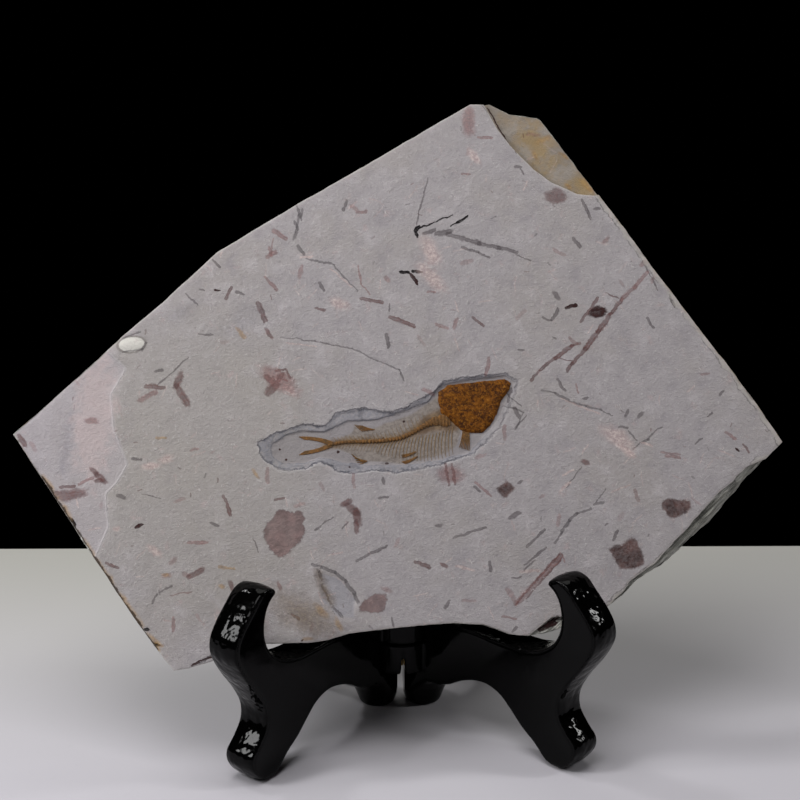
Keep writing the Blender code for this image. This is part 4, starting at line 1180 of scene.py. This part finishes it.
    def marks(self, layer: int) -> None:
        """Lays on one layer of the marks stored on the mesh.

        A mark is a capsule with narrowed ends: its far is the distance to its middle line over
        its half width, and its share falls from 1 to 0 as that passes 1. Fibres run along it.
        """
        at, size, tint = (self.node("Attribute", {"attribute_name": f"mark{layer}_{name}"}, {})
                          for name in ("place", "size", "tint"))
        moved = self.node("VectorMath", {"operation": "ADD"},
                          {0: at.outputs["Vector"], 1: self.shift}).outputs[0]
        along, across, _ = self.parts(moved)
        sharp = self.parts(at.outputs["Vector"])[2]
        run, wide, strength = self.parts(size.outputs["Vector"])
        beyond = (abs(along) - run).most(0.0)
        taper = 1.0 - 0.3 * abs(along / (run + wide)).math("POWER", 4.0).least(1.0)
        rod = (beyond * beyond + across * across).math("SQRT") / (wide * taper)
        long_share, wide_share = along / (run + wide), across / wide
        oval = (long_share * long_share + wide_share * wide_share).math("SQRT")
        slender = (run / wide).rise(1.2, 4.0)
        far = oval + (rod - oval) * slender
        far = far + (self.ragged - 0.5) * (0.6 + 0.8 * slender) + (self.rosy - 0.5) * 1.2
        share = ((1.2 - far) * sharp).rise(0.0, 1.0)
        fibre = self.noise(self.mapped(moved, (6.0, 0.55, 4.0)), 1.0, 3, 0.6)
        share = share * strength * (0.85 + (fibre - 0.5) * (0.5 + 0.9 * slender))
        share = share * (0.55 + 0.9 * self.ragged)
        deep = self.mix(1.0, tint.outputs["Color"], (0.62, 0.56, 0.57, 1.0), "MULTIPLY")
        shade = self.mix(self.ragged.rise(0.42, 0.62), deep, tint.outputs["Color"])
        self.coat(share.least(1.0), shade)

    def scraps(self) -> None:
        """The broad plant scraps that have outlines of their own."""
        jitter = (self.ragged - 0.5) * 2.2 + (self.rosy - 0.5) * 2.4
        streaky = self.rosy.rise(0.35, 0.65)
        leaf = self.attribute("leaf") + jitter
        leaf_tint = self.mix(streaky, srgb(92, 68, 66), srgb(132, 104, 101))
        self.coat(leaf.rise(0.3, -0.35) * (0.5 + 0.5 * self.patch), leaf_tint)
        self.coat(abs(leaf).rise(0.5, 0.1) * 0.3, srgb(84, 66, 68))
        plate = self.attribute("plate") + jitter
        plate_tint = self.mix(streaky, srgb(60, 42, 40), srgb(100, 74, 70))
        self.coat(plate.rise(0.5, -0.6) * (0.4 + 0.95 * self.ragged), plate_tint)

    def lit_and_worn_edges(self) -> None:
        """The face's rim: a painted highlight all round, flaked along the right edges, rusty on the
        left.
        """
        # A pale line all round the rim is a painted highlight, where the broken edge catches the light.
        self.coat(self.inset.rise(0.7, 0.1) * self.on_face * 0.4, srgb(190, 184, 178))
        flaked = self.attribute("flaked_edge") + (self.rosy - 0.5) * 5.0
        self.coat(flaked.rise(2.4, 0.6) * self.on_face * 0.6, srgb(176, 171, 162))
        self.coat(flaked.rise(1.6, 0.4) * self.rosy.rise(0.5, 0.6) * self.on_face * 0.5,
                  srgb(138, 126, 96))
        self.coat(abs(flaked - 1.9).rise(0.35, 0.05) * self.patch.rise(0.42, 0.56) * 0.6,
                  srgb(84, 82, 78))
        rusty = self.attribute("rusty_edge") + (self.rosy - 0.5) * 3.0
        self.coat(rusty.rise(2.2, 0.6) * self.on_face * self.patch.rise(0.4, 0.6) * 0.7,
                  srgb(168, 138, 98))
        self.coat(rusty.rise(0.95, 0.45) * self.on_face * 0.9, srgb(52, 40, 32))

    def broken_edge(self) -> Any:
        """The colour off the front face: thin bands on the walls, the bare corner, the back."""
        rusty = self.noise(self.place, 7.0, 3, 0.65)
        across, up, depth = self.parts(self.place)
        left = across.rise(20.0, -20.0)
        crisp = up.rise(110.0, 75.0) * 0.65 + 0.35  # the upper walls' layers show less
        bands = self.noise(self.mapped(self.place, (60.0, 60.0, 1.0)), 0.55, 2, 0.6)
        streaks_at = self.mapped(self.place, (14.0, 1.0, 3.0), (0, 0, 0.71))
        streaks = self.noise(streaks_at, 1.0, 4, 0.62)
        wall = self.mix(bands.rise(0.4, 0.56), srgb(138, 138, 130), srgb(188, 187, 180))
        for share, shade in (
            (streaks.rise(0.46, 0.39) * 0.8 * crisp, srgb(66, 66, 61)),
            (streaks.rise(0.53, 0.62) * 0.7 * crisp, srgb(216, 215, 208)),
            (self.patch.rise(0.46, 0.38) * 0.45, srgb(70, 70, 66)),
            (rusty.rise(0.54, 0.7) * 0.8 * left, srgb(112, 80, 46)),
            (rusty.rise(0.42, 0.3) * 0.6 * left, srgb(50, 42, 34)),
        ):
            wall = self.mix(share, wall, shade)
        bare = self.inset.rise(-2.6, -2.3) * self.inset.rise(-1.4, -1.7) * up.rise(110.0, 130.0)
        wall = self.mix(bare, wall, self.bare_corner(rusty))
        behind = self.mix(rusty.rise(0.5, 0.7) * 0.4, srgb(146, 145, 139), srgb(146, 130, 108))
        return self.mix(depth.rise(-6.4, -6.8), wall, behind)

    def bare_corner(self, rusty: Value) -> Any:
        """The colour of the second lamina's face, with its two iron stains."""
        corner = self.mix(self.patch.rise(0.4, 0.62), srgb(136, 128, 119), srgb(150, 142, 133))
        corner = self.mix(rusty.rise(0.42, 0.62) * 0.3, corner, srgb(150, 126, 88))
        for middle, size in (((54.4, 182.0), (9.0, 17.0)), ((70.6, 167.5), (7.0, 13.0))):
            stained = self.spot(middle, size, 0.5) + (rusty - 0.5) * 1.6
            corner = self.mix(stained.rise(0.2, 0.9) * 0.6, corner, srgb(152, 128, 84))
        return self.mix(self.grain.rise(0.55, 0.75) * 0.3, corner, srgb(112, 104, 94))

    def made(self) -> bpy.types.Material:
        """The finished material: coat over coat, and then its relief."""
        lit_scuffs = self.bed()
        self.pebble()
        ridge = self.panel()
        rim, floor = self.trough()
        flake = self.attribute("flake") + (self.patch - 0.5) * 2
        self.coat(flake.rise(0.2, -0.8) * 0.5, srgb(146, 146, 154))
        self.colour = self.mix(self.on_face, self.broken_edge(), self.colour)
        for layer in (1, 0):
            self.marks(layer)
        self.scraps()
        self.lit_and_worn_edges()
        relief = self.grain * 0.35 + self.ragged * 1.1 + self.patch * 1.6 + lit_scuffs * 0.35
        under = self.bump(relief, 0.0003)
        steps = ridge.rise(0.5, 0.0) * 0.5 - abs(rim).rise(0.5, 0.0) - floor.rise(0.2, -0.2) * 0.5
        self.set("Normal", self.bump(steps, 0.0002, under))
        self.set("Roughness", 0.8 + 0.12 * self.grain)
        return self.done(0.25)


class FossilBone(Finish):
    """Ochre-brown bone, mottled with dark specks, which pales where it is thin."""

    name = "fossil_bone"
    base = srgb(68, 36, 10)

    def made(self) -> bpy.types.Material:
        """The finished material."""
        place = self.millimetres()
        coarse = self.noise(place, 2.8, 5, 0.7, 0.9)
        small = self.noise(place, 0.8, 4, 0.7, 0.6)
        self.coat(coarse.rise(0.38, 0.58), srgb(116, 68, 14))
        self.coat(small.rise(0.5, 0.7) * 0.8, srgb(156, 104, 34))
        self.coat(small.rise(0.46, 0.34), srgb(50, 28, 14))
        self.coat(self.attribute("thinness"), srgb(136, 116, 86))
        self.coat(self.attribute("joint") * 0.5, srgb(84, 60, 36))
        self.set("Roughness", 0.5 + 0.3 * small)
        self.set("Normal", self.bump(small + coarse, 0.00025))
        return self.done(0.12)


class GlossPlastic(Finish):
    """Black moulded plastic whose gloss is a little uneven, with fine dust and rub marks."""

    name = "black_plastic"
    base = srgb(2, 2, 2)

    def made(self) -> bpy.types.Material:
        """The finished material."""
        place = self.millimetres()
        dust = self.noise(place, 0.7, 4, 0.75)
        rubbed = self.noise(place, 9.0, 4, 0.6, 0.5)
        narrow = self.attribute("narrow")
        wave = self.noise(place, 7.0, 2, 0.4, 0.3) * (0.15 + 0.85 * narrow)
        wave = wave + self.noise(place, 3.0, 1, 0.4) * narrow * 0.7
        speck = dust.rise(0.66, 0.76)
        self.coat(speck * 0.25, srgb(40, 38, 36))
        self.set("Roughness", 0.07 + rubbed.rise(0.45, 0.75) * 0.12 + speck * 0.3)
        self.set("Normal", self.bump(wave, 0.00056))
        return self.done(0.09)


class PinMetal(Finish):
    """Dull yellow metal with drawn lines round it and darker tarnish."""

    name = "pin_brass"
    base = srgb(196, 168, 112)

    def made(self) -> bpy.types.Material:
        """The finished material."""
        self.set("Metallic", 1.0)
        place = self.millimetres()
        tarnish = self.noise(place, 1.8, 4, 0.65)
        lines = self.noise(self.mapped(place, (1, 1, 0.08)), 1.0, 3)
        self.coat(tarnish.rise(0.4, 0.68), srgb(122, 96, 58))
        self.set("Roughness", 0.28 + 0.3 * tarnish)
        self.set("Normal", self.bump(lines, 0.00004))
        return self.done()


class TableTop(Finish):
    """A plain pale table top, faintly mottled, and painted darker and warmer towards its back as shade.
    """

    name = "table_top"
    base = srgb(190, 187, 194)

    def made(self) -> bpy.types.Material:
        """The finished material."""
        place = self.object_place()
        broad = self.noise(place, 0.22, 3, 0.5)
        fine = self.noise(place, 0.004, 3, 0.6)
        # Painted shade: darker and warmer towards the back, where less light falls.
        self.coat(self.parts(place)[1].rise(-0.08, 0.25), srgb(168, 167, 157))
        self.coat(broad * 0.3, srgb(176, 175, 176))
        self.coat(fine.rise(0.6, 0.8) * 0.15, srgb(166, 166, 168))
        self.set("Roughness", 0.6)
        self.set("Normal", self.bump(fine, 0.00004))
        return self.done()


@dataclass
class FossilFish:
    """The fish: a plated head, a backbone of drawn-in vertebrae, ribs, and fins made of rays."""

    floor: float = -1.0  # the trough's floor
    head_height: float = 1.05
    head_middle: Point = (27.0, 85.0)
    vertebra: float = 1.25  # from one to the next
    spine_radius: float = 0.78
    spine_sides: int = 10
    rib_count: int = 22
    spine_count: int = 24
    tail_count: int = 15
    fans: tuple = (  # roots from and to, tips from and to, rays, their thickness and bow
        ((-25.6, 72.6), (-27.6, 72.2), (-38.1, 75.0), (-36.4, 74.0), 7, 0.36, -0.05),
        ((-26.0, 71.4), (-27.6, 71.7), (-38.2, 68.4), (-36.2, 69.7), 7, 0.36, 0.05),
        ((22.4, 76.4), (24.2, 76.2), (20.6, 69.6), (24.1, 68.4), 7, 0.34, 0.03),
        ((4.6, 68.5), (4.2, 68.0), (-0.8, 67.4), (-0.4, 66.4), 4, 0.24, 0.03),
        ((5.2, 66.7), (4.2, 66.1), (-0.8, 64.8), (0.4, 64.0), 5, 0.26, 0.03),
        ((-13.4, 65.6), (-16.6, 66.2), (-16.6, 64.2), (-19.0, 68.2), 6, 0.28, 0.03),
        ((-10.2, 76.9), (-14.6, 76.4), (-15.0, 78.6), (-17.6, 79.0), 6, 0.2, 0.03),
    )

    def bowed(self, start: Point, end: Point, bow: float, count: int = 9) -> Array:
        """A line from start to end that bows sideways by a parabola."""
        share = np.linspace(0, 1, count)[:, None]
        a, b = np.asarray(start, float), np.asarray(end, float)
        side = np.array([-(b - a)[1], (b - a)[0]])
        return a + (b - a) * share + side * bow * 4 * share * (1 - share)

    def ray(self, start: Point, end: Point, bow: float, radius: float, out: float) -> Surface:
        """One thin bone that tapers to its far end, at a height over the trough's floor."""
        path = self.bowed(start, end, bow)
        share = np.linspace(0, 1, len(path))
        radii = radius * (1 - 0.65 * share) * smooth_step(-0.1, 0.06, share)
        return tube(path, radii, 0.7, 6, np.full(len(path), self.floor + out))

    def fan(self, root: Point, root_end: Point, tip: Point, tip_end: Point, count: int,
            radius: float, bow: float) -> list[Surface]:
        """Rays whose roots and tips are spread evenly between two points each."""
        rays = []
        for index in range(count):
            share = index / (count - 1)
            start = np.asarray(root) * (1 - share) + np.asarray(root_end) * share
            end = np.asarray(tip) * (1 - share) + np.asarray(tip_end) * share
            rays.append(self.ray(start, end, bow, radius, 0.16))
        return rays

    def head(self) -> Surface:
        """The skull: rings from the middle to its outline, domed, with plates and furrows.

        The height is a flat dome, 1 - share^9 to the power a half, with the gill cover and the
        jaw raised and pitted bone over all.
        """
        outline = resampled([*FISH_HEAD, FISH_HEAD[0]], 0.35)[:-1]
        ragged = 1 + 0.028 * noise(outline[:, 0], outline[:, 1], 1.3, Seed.HEAD_RIM, 3)
        rings = []
        for share in 1 - np.linspace(0.97, 0.0, 40) ** 1.2:
            x, y = ((outline[:, k] - middle) * share * ragged + middle
                    for k, middle in enumerate(self.head_middle))
            dome = np.sqrt(max(0.0, 1 - share**9))
            cover = outline_distance(x, y, GILL_COVER)
            jaw = outline_distance(x, y, JAW)
            high = 0.12 * smooth_step(0.6, -0.9, cover) + 0.12 * smooth_step(0.6, -0.8, jaw)
            high += 0.17 * noise(x, y, 2.4, Seed.HEAD_BONE, 3) + 0.1 * noise(
                x, y, 0.8, Seed.HEAD_BONE + 1, 2)
            rings.append(on_slab(x, y, self.floor + dome * (self.head_height + high)))
        last = on_slab(x, y, np.full(len(x), self.floor - 0.05))
        return ring_surface([*rings, last, last * 0.5 + last.mean(0) * 0.5])

    def backbone(self) -> tuple[Surface, Array]:
        """A rod whose radius swells and draws in once for every vertebra.

        Returns:
            The rod, and for each of its points 1 between two vertebrae and 0 on one.
        """
        path = resampled(SPINE, 0.12)
        window = 25  # points averaged to round the path's bends
        kernel = np.ones(window) / window
        padded = np.pad(path, ((window // 2, window // 2), (0, 0)), mode="edge")
        path = np.stack([np.convolve(padded[:, k], kernel, "valid") for k in (0, 1)], -1)
        along = np.concatenate([[0], np.cumsum(np.linalg.norm(np.diff(path, axis=0), axis=1))])
        share = along / along[-1]
        swell = np.cos(along * 2 * math.pi / self.vertebra)
        beads = 1 + 0.24 * swell
        radii = self.spine_radius * beads * (1.1 - 0.5 * share) * smooth_step(-0.02, 0.03, share)
        lumps = 0.8 + 0.4 * noise(path[:, 0], path[:, 1], 1.1, Seed.NAPE, 2)
        nape = 1.7 * smooth_step(0.26, 0.0, share) * lumps
        flat = 0.42 * radii / (radii + nape + 1e-6)
        surface = tube(path, np.maximum(radii + nape, 0.02), flat, self.spine_sides,
                       np.full(len(path), self.floor + 0.3))
        joints = np.repeat(smooth_step(0.2, -0.9, swell), self.spine_sides)
        return surface, np.append(joints, [0.0, 0.0])

    def ribs(self) -> list[Surface]:
        """Ribs below the backbone, and finer spines above it and along the tail."""
        bones = []
        for index in range(self.rib_count):
            share = index / (self.rib_count - 1)
            top = (18.6 - 26.0 * share, 77.4 - 5.2 * share**0.6)
            foot = (top[0] - 0.4 - 1.8 * share, 67.2 - 2.6 * math.sin(math.pi * share**0.8)
                    + 0.8 * share)
            bones.append(self.ray(top, foot, -0.05, 0.17, 0.1))
        for index in range(self.spine_count):
            share = index / (self.spine_count - 1)
            root = (9.0 - 33.0 * share, 78.4 - 5.6 * min(1.0, 2.2 * share))
            tip = (root[0] - 1.5, root[1] + (4.2 - 2.4 * share))
            bones.append(self.ray(root, tip, 0.04, 0.12, 0.07))
        for index in range(self.tail_count):
            share = index / (self.tail_count - 1)
            root = (-8.4 - 16.0 * share, 72.4)
            tip = (root[0] - 1.6, 68.6 + 1.8 * share)
            bones.append(self.ray(root, tip, -0.04, 0.12, 0.07))
        return bones

    def fins(self) -> list[Surface]:
        """The forked tail, and the fins below and above the body."""
        return [ray for fan in self.fans for ray in self.fan(*fan)]

    def build(self, material: bpy.types.Material) -> bpy.types.Object:
        """Joins the bones into one piece and stores how thin each one is."""
        spine, gaps = self.backbone()
        parts = [(self.head(), 0.0), (spine, 0.32)]
        parts += [(bone, 0.8) for bone in self.ribs()]
        parts += [(ray, 0.34) for ray in self.fins()]
        faces, shift = [], 0
        for part, _ in parts:
            faces += [[index + shift for index in face] for face in part.faces]
            shift += len(part.points)
        surface = Surface(np.concatenate([part.points for part, _ in parts]), faces)
        obj = surface.made("fish_bones", material, 50)
        thinness = [np.full(len(part.points), thin) for part, thin in parts]
        store(obj.data, "thinness", np.concatenate(thinness))
        joints = np.zeros(shift)
        first = len(parts[0][0].points)  # the backbone's points follow the head's
        joints[first:first + len(gaps)] = gaps
        store(obj.data, "joint", joints)
        return obj


class Side(Enum):
    """The stand's halves, by the side that each front arm is on."""

    LEFT = -1
    RIGHT = 1


@dataclass
class StandHalf:
    """One moulded half: its solid remeshed finely, then drawn onto smooth cushioned boards.

    A board is the set of points at distance 0 from a rounded outline of some thickness. Its
    narrow faces are crowned, by moving the outline in as the square of the place across it.
    """

    side: Side
    voxel: float = 0.6
    edge_radius: float = 1.1
    crown: float = 0.8
    wave: float = 0.14
    pieces: int = 7  # steps between two points of an outline
    front_starts: Point = (19.0, 26.0)  # reach over which the front board takes over
    back_starts: Point = (15.0, 19.0)

    def frame_of(self, back: bool) -> tuple[Array, Array]:
        """The directions along one board and across it, away from the stand's middle plane."""
        across = -self.side.value if back else self.side.value
        reach = 1.0 if back else -1.0
        along = np.array([across * math.cos(ARM_ANGLE), reach * math.sin(ARM_ANGLE), 0.0])
        normal = np.array([along[1], -along[0], 0.0])
        return along, normal * (1.0 if self.side is Side.LEFT else -1.0)

    def nearest(self, x: Array, y: Array, outline: Array) -> tuple[Array, Array, Array]:
        """Signed distance to a closed outline, and the outward direction there."""
        best = np.full(x.shape, np.inf)
        near_x, near_y = np.zeros(x.shape), np.zeros(x.shape)
        inside = np.zeros(x.shape, bool)
        for (x0, y0), (x1, y1) in zip(outline, np.roll(outline, -1, 0)):
            run_x, run_y = x1 - x0, y1 - y0
            share = ((x - x0) * run_x + (y - y0) * run_y) / (run_x**2 + run_y**2 + 1e-12)
            share = np.clip(share, 0, 1)
            px, py = x0 + share * run_x, y0 + share * run_y
            far = np.hypot(x - px, y - py)
            closer = far < best
            best = np.where(closer, far, best)
            near_x, near_y = np.where(closer, px, near_x), np.where(closer, py, near_y)
            if y0 != y1:
                inside ^= ((y0 > y) != (y1 > y)) & (x < x0 + (y - y0) * run_x / run_y)
        sign = np.where(inside, -1.0, 1.0)
        away = sign / np.maximum(best, 1e-9)
        return best * sign, (x - near_x) * away, (y - near_y) * away

    def drawn(self, points: Array, narrow: Array, back: bool) -> Array:
        """Moves points near one board onto its surface, in three steps along its slope.

        Args:
            points: All the half's points.
            narrow: How far each point is on a narrow face, which is filled in here.
            back: Whether the board is the one behind the pin.

        Returns:
            The moved points.
        """
        outline = rounded(BACK_PART if back else FRONT_ARM,
                          BACK_PART_CORNERS if back else FRONT_ARM_CORNERS, self.pieces)
        along, normal = self.frame_of(back)
        pin = np.array([0.0, PIN_Y, 0.0])
        starts = self.back_starts if back else self.front_starts
        reach = (points - pin) @ along
        across = (points - pin) @ normal - BOARD / 2
        chosen = (reach > starts[0]) & (abs(across) < BOARD / 2 + 1.5)
        part = points[chosen]
        weight = smooth_step(*starts, reach[chosen])
        for _ in range(3):
            s = (part - pin) @ along
            w = (part - pin) @ normal - BOARD / 2
            z = part[:, 2]
            far, turn_s, turn_z = self.nearest(s, z, outline)
            far = far + self.crown * (w / (BOARD / 2)) ** 2
            far = far + self.wave * noise(s + w * 0.8, z + w * 0.6, 12, Seed.BOARD_WAVE)
            a = far + self.edge_radius
            b = abs(w) - BOARD / 2 + self.edge_radius + 0.04 * noise(s, z, 20, Seed.BOARD_FACE)
            corner = np.hypot(np.maximum(a, 0), np.maximum(b, 0))
            value = corner + np.minimum(np.maximum(a, b), 0) - self.edge_radius
            outside = corner > 1e-9
            pull_a = np.where(outside, np.maximum(a, 0) / np.maximum(corner, 1e-9), a > b)
            pull_b = np.where(outside, np.maximum(b, 0) / np.maximum(corner, 1e-9), a <= b)
            shift = along * (pull_a * turn_s)[:, None] + normal * (pull_b * np.sign(w))[:, None]
            shift[:, 2] += pull_a * turn_z
            part = part - shift * (value * weight)[:, None]
        moved = points.copy()
        moved[chosen] = part
        narrow[chosen] = smooth_step(-0.6, 0.4, a - b) * weight
        return moved

    def build(self, name: str, node: bpy.types.Object,
              material: bpy.types.Material) -> bpy.types.Object:
        """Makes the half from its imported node."""
        rough = linked(name + "_rough", node.data.copy())
        weld = rough.modifiers.new("Weld", "WELD")
        weld.merge_threshold = 0.00001
        remesh = rough.modifiers.new("Remesh", "REMESH")
        remesh.mode = "VOXEL"
        remesh.voxel_size = self.voxel * MM
        soften = rough.modifiers.new("Smooth", "SMOOTH")
        soften.factor, soften.iterations = 0.5, 8
        graph = bpy.context.evaluated_depsgraph_get()
        fine = bpy.data.meshes.new_from_object(rough.evaluated_get(graph))
        bpy.data.objects.remove(rough)
        points = np.empty(len(fine.vertices) * 3)
        fine.vertices.foreach_get("co", points)
        points = points.reshape(-1, 3) / MM
        narrow = np.zeros(len(points))
        for back in (False, True):
            points = self.drawn(points, narrow, back)
        points[:, 2] = np.maximum(points[:, 2], 0.0)  # nothing goes below the table's top
        fine.vertices.foreach_set("co", (points * MM).ravel())
        fine.update()
        fine.name = name
        fine.shade_smooth()
        fine.materials.clear()
        fine.materials.append(material)
        store(fine, "narrow", narrow)
        return linked(name, fine)


@dataclass
class Studio:
    """The table, the lamps and the camera."""

    distance: float = 700.0
    pitch: float = math.radians(17.5)
    turn: float = math.radians(4.5)
    aim: Point = (0.0, PIN_Y, 124.0)
    aside: float = -0.3  # to the right of that
    lens: float = 85.135
    lamps: tuple = (  # name, place, aim, width and height, watts, colour
        ("key", (-150, -240, 900), (0, 0, 100), (520, 520), 4.9, (1.0, 0.99, 1.0)),
        ("fill", (250, -950, 380), (0, 0, 100), (700, 500), 0.14, (0.97, 0.98, 1.0)),
        ("top", (80, 420, 820), (0, 60, 40), (600, 400), 1.4, (1.0, 1.0, 0.96)),
        ("left_box", (-560, -170, 440), (-70, -40, 90), (150, 230), 2.5, (1.0, 1.0, 1.0)),
        ("right_box", (620, -70, 390), (70, -40, 90), (60, 150), 1.0, (1.0, 1.0, 1.0)),
        ("toe_box", (-420, 260, 760), (-60, -50, 20), (100, 100), 1.1, (1.0, 1.0, 1.0)),
    )

    def table(self) -> bpy.types.Object:
        """A thick board whose far edge runs a little askew behind the stand."""
        corners = [(-900, -1500), (900, -1500), (900, 111.0), (-900, 234.8)]
        top = np.array([(x, y, 0.0) for x, y in corners])
        rings = [top * 0.5 + top.mean(0) * 0.5, top, top - [0, 0, 30.0]]
        return ring_surface(rings).made("table", TableTop().made(), 30)

    def lamp(self, name: str, place: Point, aim: Point, size: Point, power: float,
             colour: Point) -> None:
        """One soft rectangular lamp that points at a place."""
        light = bpy.data.lights.new(name, "AREA")
        light.shape = "RECTANGLE"
        light.size, light.size_y = size[0] * MM, size[1] * MM
        light.energy, light.color = power, colour
        obj = linked(name, light)
        obj.location = Vector(place) * MM
        obj.rotation_euler = (Vector(aim) - Vector(place)).to_track_quat("-Z", "Y").to_euler()

    def camera(self) -> None:
        """A long lens a little above the slab and to its left."""
        forward = Vector((math.sin(self.turn) * math.cos(self.pitch),
                          math.cos(self.turn) * math.cos(self.pitch), -math.sin(self.pitch)))
        right = Vector((math.cos(self.turn), -math.sin(self.turn), 0.0))
        aim = Vector(self.aim) + right * self.aside
        data = bpy.data.cameras.new("camera")
        data.sensor_width, data.lens, data.clip_start = 36.0, self.lens, 0.01
        obj = linked("camera", data)
        obj.location = (aim - forward * self.distance) * MM
        obj.rotation_euler = forward.to_track_quat("-Z", "Y").to_euler()
        bpy.context.scene.camera = obj

    def build(self) -> None:
        """Sets up the whole studio."""
        self.table()
        self.camera()
        for lamp in self.lamps:
            self.lamp(*lamp)
        world = bpy.data.worlds.new("studio")
        bpy.context.scene.world = world
        world.use_nodes = True
        world.node_tree.nodes["Background"].inputs[0].default_value = (0, 0, 0, 1)
        bpy.context.scene.view_settings.view_transform = "Standard"


def dressed(obj: bpy.types.Object, body: str, slot: str, *nodes: str) -> bpy.types.Object:
    """Makes a piece ride on its body, in place of some nodes, and reports it."""
    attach(obj, body)
    if nodes:
        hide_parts(*nodes)
    LOG.info("%s: %d faces on %s", obj.name, len(obj.data.polygons), body)
    return obj


def main() -> None:
    """Builds the sub-assemblies in order."""
    logging.basicConfig(level=logging.INFO, format="%(message)s")
    Studio().build()
    dressed(SlabStone().build(Mudstone().made()), "left_half", "mudstone", "slab")
    dressed(FossilFish().build(FossilBone().made()), "left_half", "fossil_bone", "fossil_fish")
    plastic = GlossPlastic().made()
    for side, node, body in (
        (Side.LEFT, "stand_left_half", "left_half"),
        (Side.RIGHT, "stand_right_half", "right_half"),
    ):
        half = StandHalf(side).build(f"moulded_{side.name.lower()}_half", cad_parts[node],
                                     plastic)
        dressed(half, body, "black_plastic", node)
    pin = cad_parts["hinge_pin"]
    pin.data.materials.clear()
    pin.data.materials.append(PinMetal().made())
    bpy.context.view_layer.update()


if __name__ == "__main__":
    main()
